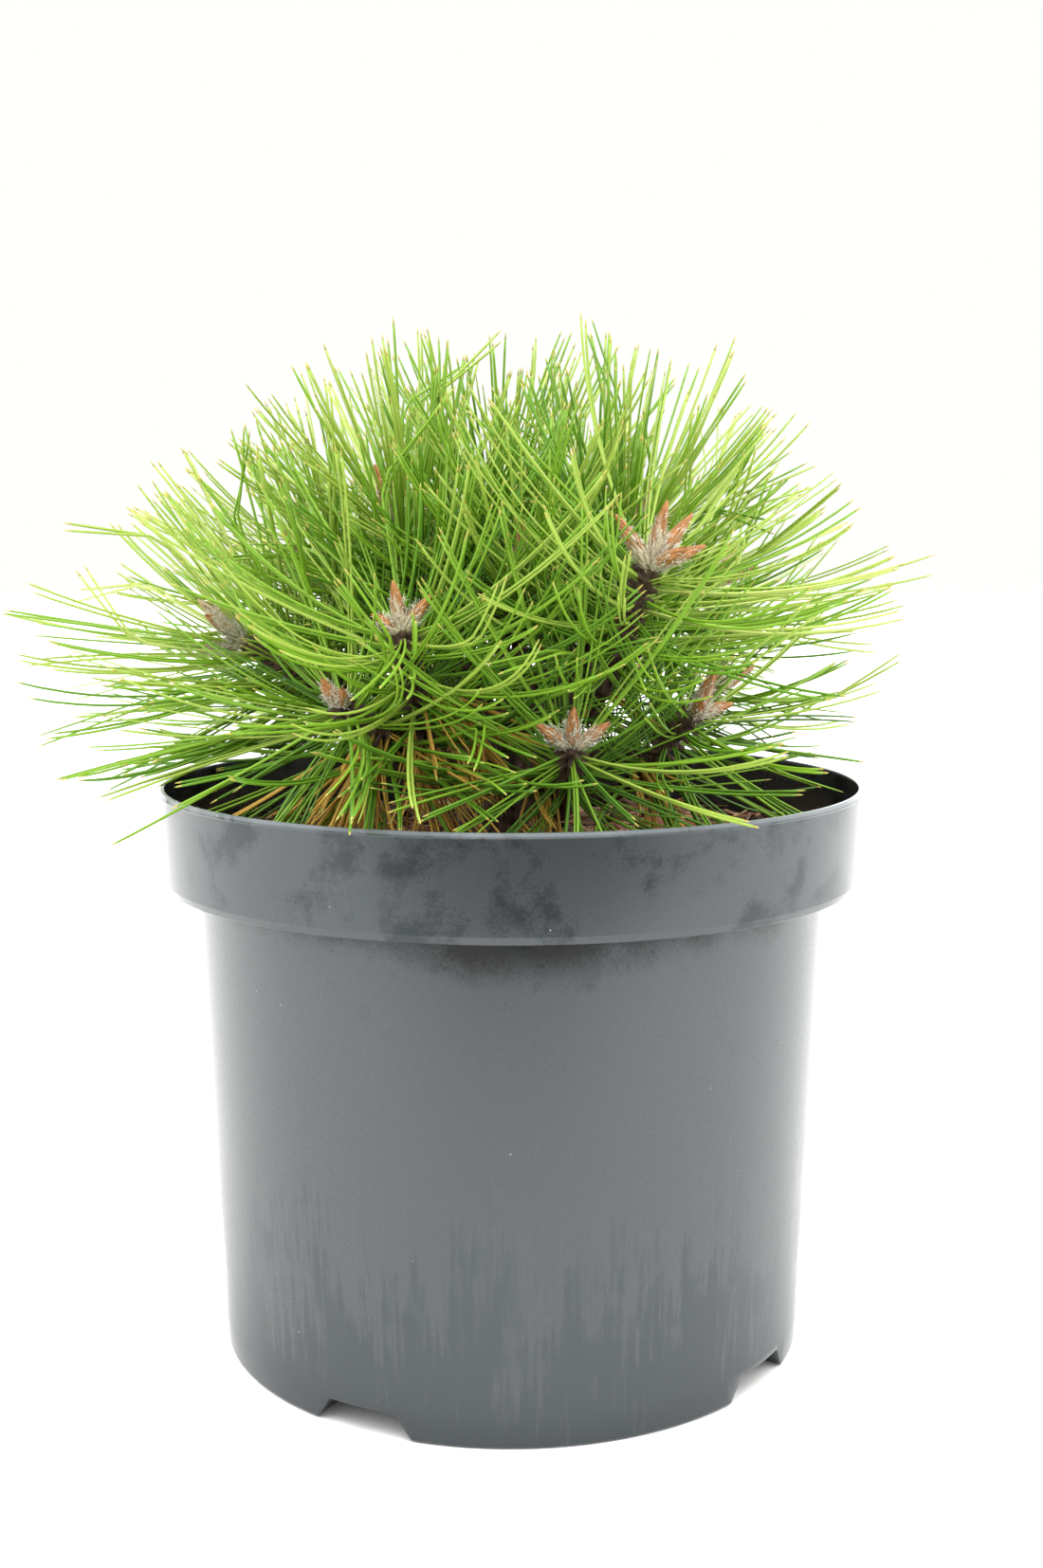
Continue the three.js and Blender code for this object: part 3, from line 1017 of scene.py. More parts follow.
SHOOTS = (
    Shoot("front_right_upper", (44, -48, 269), (0.3, -0.38, 0.87), 42, 88, 214, 4),
    Shoot("front_left_upper", (-34, -58, 249), (-0.12, -0.46, 0.88), 40, 92, 209, 3),
    Shoot("front_low", (19, -74, 214), (0.04, -0.82, 0.57), 36, 80, 190, 3),
    Shoot("right_low", (60, -38, 221), (0.56, -0.46, 0.68), 34, 76, 195, 3),
    Shoot("left_low", (-54, -52, 225), (-0.55, -0.6, 0.58), 34, 96, 197, 2),
    Shoot("left_tip", (-92, 2, 243), (-0.86, -0.08, 0.5), 44, 88, 207, 3),
    Shoot("top_left", (-40, 8, 283), (-0.34, -0.04, 0.94), 42, 78, 226, 3),
    Shoot("top_right", (42, 14, 278), (0.34, 0.1, 0.93), 42, 80, 229, 3),
    Shoot("top_back", (-5, 52, 284), (-0.02, 0.34, 0.94), 42, 80, 234, 3),
    Shoot("centre", (2, -8, 264), (-0.02, -0.3, 0.95), 24, 80, None, 2),
    Shoot("right_back_upper", (72, 42, 262), (0.7, 0.34, 0.62), 42, 80, 219, 3),
    Shoot("left_back_upper", (-72, 46, 268), (-0.6, 0.34, 0.72), 42, 80, 217, 3),
    Shoot("right_back_low", (72, 34, 222), (0.84, 0.3, 0.45), 36, 74, 191, 2),
    Shoot("left_back_low", (-74, 56, 222), (-0.76, 0.48, 0.44), 38, 80, 201, 2),
    Shoot("back_left_low", (-26, 80, 222), (-0.22, 0.86, 0.46), 36, 78, 192, 3),
    Shoot("back_right_low", (36, 78, 226), (0.34, 0.82, 0.46), 36, 78, 200, 3),
    Shoot("back_upper", (26, 70, 262), (0.2, 0.68, 0.7), 38, 80, 209, 3),
)


@dataclass
class Skeleton:
    """The lines that the stem and the boughs follow.

    Attributes:
        soil_z: Height of the soil's top.
        clearance: Gap that the source leaves between a limb and the next solid.
        bend: How long a bough's handles are, next to its length.
        rise: How much of a bough's rise shows where it leaves the stem.
        root: Where the stem starts, its height counted from the soil.
        lower: The stem's lower handle, its height counted from the soil.
        upper: Distance of the stem's upper handle from its end.
    """

    soil_z: float = 174.0
    clearance: float = 0.3
    bend: float = 0.4
    rise: float = 0.35
    root: Spot = (-5.0, 4.0, -6.0)
    lower: Spot = (-6.0, 6.0, 22.0)
    upper: float = 26.0

    def __post_init__(self) -> None:
        """Find the stem's line, which ends in the leader."""
        leader = next(s for s in SHOOTS if s.leaves_at is None)
        soil = UP * self.soil_z
        end = leader.foot - leader.direction * self.clearance
        upper = end - leader.direction * self.upper
        self.stem = [np.array(self.root) + soil, np.array(self.lower) + soil, upper, end]

    def stem_at(self, height: float) -> Array:
        """Find the middle of the stem at a height, by halving.

        Args:
            height: The height.

        Returns:
            The point.
        """
        low, high = 0.0, 1.0
        for _ in range(16):
            middle = (low + high) / 2
            if bezier(self.stem, np.array([middle]))[0, 2] < height:
                low = middle
            else:
                high = middle
        return bezier(self.stem, np.array([low]))[0]

    def bough(self, shoot: Shoot) -> list[Array]:
        """Find a bough's line.

        Args:
            shoot: The shoot that it carries.

        Returns:
            Its start, two handles and end.
        """
        start = self.stem_at(shoot.leaves_at)
        outward = shoot.foot - start
        bend = np.linalg.norm(outward) * self.bend
        leaves = unit(outward * np.array((1, 1, self.rise)))
        end = shoot.foot - shoot.direction * self.clearance
        return [start, start + leaves * bend, end - shoot.direction * bend, end]

    def limbs(self) -> tuple[Array, Array]:
        """Sample every limb, for needles to keep clear of.

        Returns:
            Points along the limbs, and the limb's radius at each.
        """
        steps = np.linspace(0, 1, 13)
        points, radii = [bezier(self.stem, steps)], [Wood.stem_radius(steps)]
        for shoot in SHOOTS:
            if shoot.leaves_at is not None:
                points.append(bezier(self.bough(shoot), steps))
                radii.append(Wood.bough_radius(steps))
        return np.concatenate(points), np.concatenate(radii)


@dataclass
class Wood:
    """The stem as one skin, and the boughs and twigs as another, both with the bark's relief.

    Attributes:
        skeleton: The lines that they follow.
        stem_voxel: Width of the faces of the stem's skin.
        crown_voxel: Width of the faces of the boughs' and twigs' skin.
        stem_relief: Height of the stem's bark scales.
        crown_relief: Height of the boughs' and twigs' bark scales.
        twig_ends: How far a twig reaches back into its bough and on into its buds.
        twig_radii: Radius of a twig at both ends.
        sunk: How far below the soil's top the stem goes.
    """

    skeleton: Skeleton
    stem_voxel: float = 0.9
    crown_voxel: float = 0.85
    stem_relief: float = 1.3
    crown_relief: float = 0.65
    twig_ends: tuple[float, float] = (2.0, 1.5)
    twig_radii: tuple[float, float] = (2.9, 2.3)
    sunk: float = 7.0

    @staticmethod
    def stem_radius(share: Array) -> Array:
        """Find the stem's radius, root flare first, at shares of the way up."""
        return np.interp(share, [0, 0.1, 0.2, 0.34, 0.6, 0.85, 1], [17, 14.5, 11.6, 10, 8.6, 6, 3.1])

    @staticmethod
    def bough_radius(share: Array) -> Array:
        """Find a bough's radius at shares of the way out."""
        return lerp(4.2, 3.0, share)

    def limb(self, line: list[Array], taper: Array) -> Piece:
        """Model one limb as a curve with a round bevel, and turn it into a mesh.

        Args:
            line: Start, two handles and end of its middle.
            taper: Its radius at even steps from start to end.

        Returns:
            The closed limb.
        """
        deselect_all()
        bpy.ops.curve.primitive_bezier_curve_add()
        limb = bpy.context.object
        start, leaving, arriving, end = line
        ends = ((start, start, leaving), (end, arriving, end))
        for point, (place, before, after) in zip(limb.data.splines[0].bezier_points, ends):
            point.handle_left_type = point.handle_right_type = "FREE"
            point.co, point.handle_left, point.handle_right = (Vector(p * MM) for p in (place, before, after))
        bpy.ops.object.mode_set(mode="EDIT")
        bpy.ops.curve.select_all(action="SELECT")
        bpy.ops.curve.subdivide(number_cuts=len(taper) - 2)
        bpy.ops.object.mode_set(mode="OBJECT")
        for point, radius in zip(limb.data.splines[0].bezier_points, taper):
            point.radius = float(radius)
        limb.data.bevel_depth = MM
        limb.data.bevel_resolution = 4
        limb.data.resolution_u = 4
        limb.data.use_fill_caps = True
        bpy.ops.object.convert(target="MESH")
        return bpy.context.object

    def straight(self, start: Array, end: Array) -> list[Array]:
        """Write a straight line as a Bezier's four points."""
        return [start, lerp(start, end, 1 / 3), lerp(start, end, 2 / 3), end]

    def build(self) -> None:
        """Model every limb, grow them into two skins, roughen these and dress them."""
        steps = np.linspace(0, 1, 9)
        stem = self.limb(self.skeleton.stem, self.stem_radius(np.linspace(0, 1, 15)))
        back, on = self.twig_ends
        boughs, twigs, nodes = [], [], []
        for shoot in SHOOTS:
            if shoot.leaves_at is not None:
                boughs.append(self.limb(self.skeleton.bough(shoot), self.bough_radius(steps)))
                nodes.append(f"bough_{shoot.name}")
            line = self.straight(shoot.foot - shoot.direction * back, shoot.end + shoot.direction * on)
            twigs.append(self.limb(line, lerp(*self.twig_radii, steps)))
        crown = joined(boughs + twigs)
        self.roughen(stem, self.stem_relief, self.stem_voxel)
        self.roughen(crown, self.crown_relief, self.crown_voxel)
        stem.name, crown.name = "trunk_bark", "bough_bark"
        dress(stem, ScalyBark(), "bark", "trunk")
        dress(crown, ScalyBark(scale_mm=2.2), "bark", *nodes)

    def roughen(self, limb: Piece, relief: float, voxel: float) -> None:
        """Give a limb an even skin and the relief of scaly bark.

        Args:
            limb: The mesh.
            relief: Height of the bark's scales.
            voxel: Width of the skin's faces.
        """
        apply_modifier(limb, "REMESH", mode="VOXEL", voxel_size=voxel * MM, use_smooth_shade=True)
        for kind, size, strength in (("CLOUDS", 7.0, relief), ("VORONOI", 2.6, relief * 0.8)):
            displace(limb, kind, size, strength, mid_level=0.55)
        for vertex in limb.data.vertices:
            vertex.co.z = max(vertex.co.z, (self.skeleton.soil_z - self.sunk) * MM)


# Foliage


class Green(Enum):
    """The needles' colours, from the lit outside of the crown to its shaded inside.

    Their thin wax gives a soft satin shine, duller on shaded needles and faint on the withered ones.
    """

    SUNLIT = PlainFinish("needle_sunlit_green", "b0c164", 0.42, 1.35)
    BRIGHT = PlainFinish("needle_bright_green", "94ad44", 0.42, 1.35)
    HALF_LIT = PlainFinish("needle_fresh_green", "749c26", 0.42, 1.35)
    DEEP = PlainFinish("needle_deep_green", "5c881e", 0.45, 1.35)
    SHADED = PlainFinish("needle_shaded_green", "477018", 0.48, 1.35)
    GOLDEN = PlainFinish("needle_golden_brown", "bd9640", 0.6, 1.35)


# Needles and scales: cross-sections next to a bar's width, anticlockwise, and widths along a bar

NEEDLE_SECTION = np.array([(-0.5, -0.2), (0.5, -0.2), (0.3, 0.34), (-0.3, 0.34)])
ROUND_SECTION = np.array([(math.cos(a), math.sin(a)) for a in np.arange(5) * 2 * math.pi / 5])
SCALE_SECTION = np.array([(-1.0, 0.0), (0.0, -0.1), (1.0, 0.0), (0.0, 0.26)])
HAIR_SECTION = ROUND_SECTION[:3]
NEEDLE_SWELL = ((0, 0.08, 0.5, 0.9, 1), (0.7, 0.95, 1.0, 0.9, 0.72))
TIP_WIDTHS = np.array([0.7, 0.5, 0.06])
SHEATH_REACH = np.array([-1.5, 2.0, 5.5])
SHEATH_WIDTHS = np.array([0.5, 0.85, 0.62])
HAIR_WIDTHS = np.array([0.16, 0.13, 0.05])
SCALE_WIDTHS = np.array([0.9, 1.0, 0.86, 0.5, 0.05])
BUD_OUTLINE = ((0, 0.12, 0.34, 0.55, 0.78, 0.92, 1), (0.62, 0.84, 1.0, 0.9, 0.5, 0.2, 0.03))

# Tones of withered needles lie far below the greens', and each kind of growth has seeds of its own

WITHERED = -3.0
WITHERED_BELOW = -1.0
OLD_SEED = 100
TUFT_SEED = 200
BUD_SEED = 500


@dataclass
class Strands:
    """Many needles as bare lines.

    Attributes:
        paths: Shaped (needles, points, 3), in millimetres.
        apart: The way from each needle to its twin.
        tone: How light each is, from 0 to 1.
        root: Shaped (needles, 3).
        leaves: The way each leaves its shoot.
    """

    paths: Array
    apart: Array
    tone: Array
    root: Array
    leaves: Array


@dataclass(frozen=True)
class Tuft:
    """A bunch of old needles that has turned golden and hangs from a bough.

    Attributes:
        near: The shoot that it hangs below.
        root: Where it starts.
        way: The way it hangs.
        count: How many pairs it has.
        spread: How far they fan out, in degrees.
        length: Their length.
    """

    near: str
    root: Spot
    way: Spot
    count: int
    spread: float
    length: float


@dataclass
class Foliage:
    """The needles in their pairs, with sheaths and pale tips.

    Attributes:
        skeleton: The lines of the wood.
        tub: The container.
        box: Lowest and highest corner of the part.
        first_seed: The source's seed, to which each shoot adds its place in the list.
        fascicles: How many pairs a shoot has, unless fullness says otherwise.
        points: Points along a needle.
        width: Width of a needle.
        needled: Shares of a shoot's length between which needles leave it.
        opens_at: Lean of the lowest needles from the shoot, in degrees.
        lengths: A needle's shortest and longest, next to the shoot's own length of needle.
        closes_at: Lean of the topmost needles, in degrees, by shoot.
        fullness: How many pairs a shoot has, by shoot.
        hang: How strongly a low shoot's downward needles hang over the rim or the soil, by shoot.
        hangs_to: Height that hanging and withered needles stay above.
        keeps_above: Height that all others stay above.
        older: How many older pairs a bough has.
        tufts: The withered tufts.
        curls_on: How far needles bend on along their shoot.
        curls_up: How far they bend upwards.
        tip_length: Length of a pale tip.
        crown_top: The crown's outline as the front shows it: distance to the right, and height.
        seen_buds: For each cluster of buds that shows, how far in front of it needles keep away.
        tries: The share of its length, and the lift, with which a needle tries to find room.
        usual_close: Lean of the topmost needles of a shoot that closes_at leaves out.
        lean_curve: Power by which the leans change along a shoot.
        turn_scatter: Scatter of the turns round a shoot, in radians.
        lean_scatter: Scatter of the leans, in degrees.
        drooping: Share of the needles that droop, and how far.
        hang_bends: How soon hanging starts, and what it takes from the bends onwards and upwards.
        old_reach: Where along a bough its older needles start, and over how much of it they grow.
        old_leans: Their leans, in degrees.
        old_droops: How far they droop.
        old_lengths: Their lengths next to the shoot's.
        old_golden: Share of them that is golden.
        old_shade: What is added to the others' tone.
        tuft_droops: How far withered needles droop.
        tuft_scatter: Scatter of their roots and of their ends' directions.
        tuft_lengths: Their lengths next to the tuft's.
        tuft_falls: How far below its root a withered needle ends, at least.
        bow: Scatter of the sideways bend.
        hooked: Share of the pairs that kink.
        hooks: How sharply they kink.
        hooks_at: Where along a needle the kink starts, and over how much of it.
        half_gap: Half the gap between twins at their root.
        parting: Scatter of how far twins part.
        parts: How much of the parting shows at the root and at the end.
        twin_scatter: Scatter of the twins' ends, lengths and tone, and how much their kinks differ.
        wall_gap: How far within the collar's foot radius needles already count as over the wall.
        rim_gap: How far they keep from the rim's top and outside.
        overhang: How far over the rim they stay outside the tub, in general and far to the sides.
        side: Distance from the middle plane at which the sides start.
        box_slack: How far past the box a needle's line may go.
        root_free: Share of a needle, from its root, that may pass close to wood and buds.
        bud_gap: How far needles keep from other shoots' buds.
        limb_gap: How far they keep from the bark.
        sight_gap: How far they keep from the line of sight to a cluster that shows.
        sight_steps: First distance and step of the points on that line.
        bud_middle: Distance from a shoot's end to the middle of its buds.
        lit_height: Height at which needles start to get lighter, and over how much.
        lit_radius: Distance from the axis at which they start to get lighter, and over how much.
        lit_by: Weights of height, distance and chance in a needle's tone, and what it starts from.
        tone_edges: Tones that part the greens, from shaded to sunlit.
    """

    skeleton: Skeleton
    tub: NurseryTub
    box: tuple[Array, Array]
    first_seed: int = 12
    fascicles: int = 78
    points: int = 12
    width: float = 1.0
    needled: tuple[float, float] = (0.1, 0.98)
    opens_at: float = 88.0
    lengths: tuple[float, float] = (0.84, 1.08)
    closes_at: dict[str, float] = field(
        default_factory=lambda: {
            "front_right_upper": 64.0,
            "front_left_upper": 64.0,
            "front_low": 68.0,
            "right_low": 66.0,
            "left_low": 62.0,
            "left_tip": 24.0,
            "left_back_upper": 32.0,
            "right_back_upper": 46.0,
            "top_left": 25.0,
            "top_right": 25.0,
            "top_back": 25.0,
            "back_upper": 34.0,
            "centre": 34.0,
        }
    )
    fullness: dict[str, int] = field(
        default_factory=lambda: {
            "front_right_upper": 70,
            "front_low": 66,
            "left_low": 92,
            "left_tip": 98,
            "right_low": 48,
            "left_back_low": 72,
            "right_back_low": 32,
            "right_back_upper": 40,
            "back_right_low": 60,
            "top_left": 134,
            "top_right": 130,
            "top_back": 122,
            "back_upper": 96,
        }
    )
    hang: dict[str, float] = field(
        default_factory=lambda: {
            "left_low": 1.0,
            "front_low": 0.9,
            "right_low": 0.7,
        }
    )
    hangs_to: float = 177.0
    keeps_above: float = 199.0
    older: int = 7
    tufts: tuple[Tuft, ...] = (
        Tuft("left_low", (-43, -47, 216), (-0.3, -0.5, -0.75), 36, 34, 56),
        Tuft("left_low", (-32, -44, 214), (0.3, -0.45, -0.8), 14, 20, 46),
        Tuft("front_left_upper", (-31, -34, 233), (0.6, -0.3, -0.65), 26, 28, 54),
        Tuft("front_low", (10, -46, 200), (0.1, -0.5, -0.6), 10, 30, 34),
        Tuft("right_low", (40, -28, 204), (0.4, -0.5, -0.6), 12, 30, 34),
    )
    curls_on: tuple[float, float] = (0.4, 0.78)
    curls_up: tuple[float, float] = (-0.06, 0.28)
    tip_length: float = 2.6
    crown_top: tuple[tuple[float, float], ...] = (
        (-180, 262),
        (-147, 286),
        (-115, 309),
        (-88, 326),
        (-75, 342),
        (-58, 342),
        (-34, 359),
        (0, 354),
        (24, 355),
        (36, 361),
        (50, 343),
        (64, 343),
        (75, 351),
        (88, 328),
        (115, 302),
        (130, 280),
        (145, 262),
    )
    seen_buds: dict[str, float] = field(
        default_factory=lambda: {
            "left_tip": 90.0,
            "right_low": 50.0,
            "front_right_upper": 50.0,
            "front_left_upper": 50.0,
            "front_low": 50.0,
            "left_low": 50.0,
        }
    )
    tries: tuple[tuple[float, float], ...] = (
        (1.0, 0.0),
        (0.87, 0.0),
        (0.74, 0.06),
        (0.62, 0.1),
        (0.5, 0.15),
        (0.9, 0.4),
        (0.7, 0.7),
    )
    usual_close: float = 40.0
    lean_curve: float = 1.6
    turn_scatter: float = 0.15
    lean_scatter: float = 5.0
    drooping: tuple[float, float] = (0.14, 0.45)
    hang_bends: tuple[float, float, float] = (1.5, 0.85, 0.5)
    old_reach: tuple[float, float] = (0.45, 0.5)
    old_leans: tuple[float, float] = (60.0, 100.0)
    old_droops: tuple[float, float] = (0.1, 0.8)
    old_lengths: tuple[float, float] = (0.55, 0.85)
    old_golden: float = 0.3
    old_shade: float = -0.35
    tuft_droops: tuple[float, float] = (0.0, 0.4)
    tuft_scatter: tuple[float, float] = (2.2, 0.28)
    tuft_lengths: tuple[float, float] = (0.75, 1.1)
    tuft_falls: float = 8.0
    bow: float = 0.11
    hooked: float = 0.07
    hooks: tuple[float, float] = (0.4, 1.3)
    hooks_at: tuple[float, float] = (0.55, 0.12)
    half_gap: float = 0.42
    parting: float = 0.028
    parts: tuple[float, float] = (0.4, 1.6)
    twin_scatter: tuple[float, float, float, float] = (0.012, 0.015, 0.02, 0.1)
    wall_gap: float = 4.0
    rim_gap: float = 1.2
    overhang: tuple[float, float] = (2.0, -9.0)
    side: float = 100.0
    box_slack: float = 1.5
    root_free: float = 0.16
    bud_gap: float = 11.5
    limb_gap: float = 0.8
    sight_gap: float = 6.5
    sight_steps: tuple[float, float] = (13.0, 6.0)
    bud_middle: float = 9.0
    lit_height: tuple[float, float] = (212.0, 125.0)
    lit_radius: tuple[float, float] = (35.0, 110.0)
    lit_by: tuple[float, float, float, float] = (0.42, 0.4, 0.34, -0.08)
    tone_edges: tuple[float, ...] = (0.28, 0.42, 0.58, 0.76)

    def __post_init__(self) -> None:
        """Find what needles keep clear of."""
        self.limb_points, self.limb_radii = self.skeleton.limbs()
        self.bud_middles = np.array([s.end + s.direction * self.bud_middle for s in SHOOTS])
        first, step = self.sight_steps
        sights = []
        for shoot, middle in zip(SHOOTS, self.bud_middles):
            towards = unit(np.array(Studio.eye) - middle)
            reach = self.seen_buds.get(shoot.name, 0)
            sights += [middle + towards * far for far in np.arange(first, reach, step)]
        self.sights = np.array(sights)

    def leaning(self, direction: Array, lean: Array, turn: Array) -> Array:
        """Lean from a direction by an angle, turned round it, as the source does.

        Args:
            direction: The shoot's direction.
            lean: Angles from it, in radians.
            turn: Angles round it, in radians.

        Returns:
            One unit vector for each angle.
        """
        across = unit(np.cross(direction, UP))
        deep = np.cross(across, direction)
        around = across * np.cos(turn)[:, None] + deep * np.sin(turn)[:, None]
        return direction * np.cos(lean)[:, None] + around * np.sin(lean)[:, None]

    def drawn(
        self,
        root: Array,
        leaves: Array,
        curls: Array,
        bow: Array,
        hook: Array,
        length: Array,
    ) -> Array:
        """Draw needles as lines of even steps.

        Args:
            root: Where each starts.
            leaves: The way each leaves.
            curls: The way each ends up.
            bow: A sideways bend along the whole needle.
            hook: A sharper bend past the middle.
            length: How long each is.

        Returns:
            The lines, shaped (needles, points, 3).
        """
        steps = self.points - 1
        t = ((np.arange(steps) + 0.5) / steps)[None, :, None]
        start, over = self.hooks_at
        way = (1 - t) * leaves[:, None] + t * curls[:, None] + bow[:, None] * (2 * t - 1)
        way = unit(way + hook[:, None] * np.clip((t - start) / over, 0, 1))
        moves = way * (length / steps)[:, None, None]
        moved = np.concatenate([np.zeros((len(root), 1, 3)), np.cumsum(moves, axis=1)], axis=1)
        return root[:, None] + moved

    def outside(self, dense: Array, low_end: float) -> Array:
        """Say which points are in the container or the soil, past the part's box or over the crown's top.

        Args:
            dense: Points along the needles, shaped (needles, points, 3).
            low_end: Height that the needles stay above.

        Returns:
            True for each point that is.
        """
        tub = self.tub
        radius, z = np.linalg.norm(dense[..., :2], axis=-1), dense[..., 2]
        from_wall = radius >= tub.collar_foot_radius - self.wall_gap
        over_wall = from_wall & (radius < tub.rim_radius + self.rim_gap)
        bad = (~from_wall & (z < low_end)) | (over_wall & (z < tub.height + self.rim_gap))
        usual, at_sides = self.overhang
        over = tub.height + np.where(np.abs(dense[..., 0]) > self.side, at_sides, usual)
        bad |= (radius > tub.rim_radius) & (z < over)
        low, high = self.box
        bad |= (dense < low - self.box_slack).any(-1) | (dense > high + self.box_slack).any(-1)
        return bad | (z > np.interp(dense[..., 0], *np.array(self.crown_top, float).T))

    def blocked(self, paths: Array, own: int, low_end: float) -> Array:
        """Say which needles are outside, or come too close to a limb, other buds or the gap before buds.

        Args:
            paths: The needles' lines.
            own: Place of their own shoot in the list.
            low_end: Height that they stay above.

        Returns:
            True for each needle that is in the way.
        """
        share = np.linspace(0, self.points - 1, (self.points - 1) * 3 + 1)
        low = np.minimum(share.astype(int), self.points - 2)
        part = (share - low)[None, :, None]
        dense = paths[:, low] * (1 - part) + paths[:, low + 1] * part
        tested = share / (self.points - 1) > self.root_free
        flat = dense[:, tested].reshape(-1, 1, 3)
        others = np.delete(self.bud_middles, own, axis=0)
        near = np.zeros(len(flat), bool)
        for middles, gap in (
            (others, self.bud_gap),
            (self.limb_points, self.limb_radii[None] + self.limb_gap),
            (self.sights, self.sight_gap),
        ):
            near |= (np.linalg.norm(flat - middles[None], axis=-1) < gap).any(-1)
        return self.outside(dense, low_end).any(1) | near.reshape(len(paths), -1).any(1)

    def settled(
        self,
        own: int,
        low_end: float,
        root: Array,
        leaves: Array,
        curls: Array,
        bow: Array,
        hook: Array,
        length: Array,
    ) -> tuple[Array, Array]:
        """Draw needles, and lift or shorten those that are in the way.

        Args:
            own: Place of their shoot in the list.
            low_end: Height that they stay above.
            root: Where each starts.
            leaves: The way each leaves.
            curls: The way each ends up.
            bow: A sideways bend along the whole needle.
            hook: A sharper bend past the middle.
            length: How long each is.

        Returns:
            The lines, and whether each found room.
        """
        paths = np.zeros((len(root), self.points, 3))
        waits = np.ones(len(root), bool)
        for part, lift in self.tries:
            todo = np.flatnonzero(waits)
            if not len(todo):
                break
            raised = unit(curls[todo] + UP * lift)
            tried = self.drawn(root[todo], leaves[todo], raised, bow[todo], hook[todo], length[todo] * part)
            clear = ~self.blocked(tried, own, low_end)
            paths[todo[clear]] = tried[clear]
            waits[todo[clear]] = False
        return paths, ~waits

    def tone(self, paths: Array, rng: np.random.Generator) -> Array:
        """Say how light needles are painted: a painted light and shade, most at the crown's top and outside,
        mixed with tone that differs at random.

        Args:
            paths: The needles' lines.
            rng: A stream of numbers.

        Returns:
            Their tones, about 0 to 1.
        """
        tip = paths[:, -1]
        (low, rise), (inner, reach) = self.lit_height, self.lit_radius
        height = np.clip((tip[:, 2] - low) / rise, 0, 1)
        out = np.clip((np.linalg.norm(tip[:, :2], axis=1) - inner) / reach, 0, 1)
        by_height, by_radius, by_chance, start = self.lit_by
        return by_height * height + by_radius * out + by_chance * rng.random(len(tip)) + start

    def year_growth(self, own: int, shoot: Shoot) -> Strands:
        """Grow a shoot's own needles by the source's rule, in finer steps.

        Args:
            own: The shoot's place in the list.
            shoot: The shoot.

        Returns:
            Its needles.
        """
        rng = np.random.default_rng(self.first_seed + own)
        count = self.fullness.get(shoot.name, self.fascicles)
        index = np.arange(count)
        share = lerp(*self.needled, (index + rng.random(count) / 2) / count)
        turn = index * GOLDEN_ANGLE + self.first_seed + own + rng.normal(0, self.turn_scatter, count)
        closes_at = self.closes_at.get(shoot.name, self.usual_close)
        lean = lerp(self.opens_at, closes_at, share**self.lean_curve)
        lean = np.radians(lean + rng.normal(0, self.lean_scatter, count))
        leaves = self.leaning(shoot.direction, lean, turn)
        rise = lerp(*self.curls_up, rng.random(count))
        droops, by = self.drooping
        rise[rng.random(count) < droops] -= by
        soon, less_on, less_up = self.hang_bends
        down = np.clip(-leaves[:, 2] * soon, 0, 1) * self.hang.get(shoot.name, 0.0)
        onward = lerp(*self.curls_on, rng.random(count)) * (1 - less_on * down)
        curls = leaves + onward[:, None] * shoot.direction + UP * (rise - less_up * down)[:, None]
        length = shoot.needle * lerp(*self.lengths, rng.random(count))
        root = shoot.foot + (shoot.end - shoot.foot) * share[:, None]
        low_end = self.hangs_to if shoot.name in self.hang else self.keeps_above
        return self.paired(own, low_end, root, leaves, curls, length, rng, np.zeros(count))

    def old_growth(self, own: int, shoot: Shoot) -> Strands:
        """Grow the older, drooping needles on the outer part of a shoot's bough.

        Args:
            own: The shoot's place in the list.
            shoot: The shoot, which has a bough.

        Returns:
            Its older needles.
        """
        rng = np.random.default_rng(OLD_SEED + self.first_seed + own)
        count = self.older
        index = np.arange(count)
        start, reach = self.old_reach
        root = bezier(self.skeleton.bough(shoot), start + reach * (index + rng.random(count)) / count)
        lean = np.radians(rng.uniform(*self.old_leans, count))
        leaves = self.leaning(shoot.direction, lean, index * GOLDEN_ANGLE + own)
        curls = leaves - UP * rng.uniform(*self.old_droops, count)[:, None]
        length = shoot.needle * rng.uniform(*self.old_lengths, count)
        dim = np.where(rng.random(count) < self.old_golden, WITHERED, self.old_shade)
        return self.paired(own, self.keeps_above, root, leaves, curls, length, rng, dim)

    def withered(self, number: int, tuft: Tuft) -> Strands:
        """Grow one golden tuft.

        Args:
            number: Its place in the list.
            tuft: The tuft.

        Returns:
            Its needles.
        """
        rng = np.random.default_rng(TUFT_SEED + number)
        own = next(i for i, shoot in enumerate(SHOOTS) if shoot.name == tuft.near)
        count = tuft.count
        lean = np.radians(np.abs(rng.normal(0, tuft.spread, count)))
        leaves = self.leaning(unit(np.array(tuft.way, float)), lean, rng.uniform(0, 2 * math.pi, count))
        at_root, at_end = self.tuft_scatter
        droop = rng.uniform(*self.tuft_droops, count)[:, None]
        curls = leaves - UP * droop + rng.normal(0, at_end, (count, 3))
        root = np.array(tuft.root, float) + rng.normal(0, at_root, (count, 3))
        length = tuft.length * rng.uniform(*self.tuft_lengths, count)
        grown = self.paired(own, self.hangs_to, root, leaves, curls, length, rng, np.full(count, WITHERED))
        hangs = grown.paths[:, -1, 2] < grown.root[:, 2] - self.tuft_falls
        return Strands(*(getattr(grown, part.name)[hangs] for part in fields(grown)))

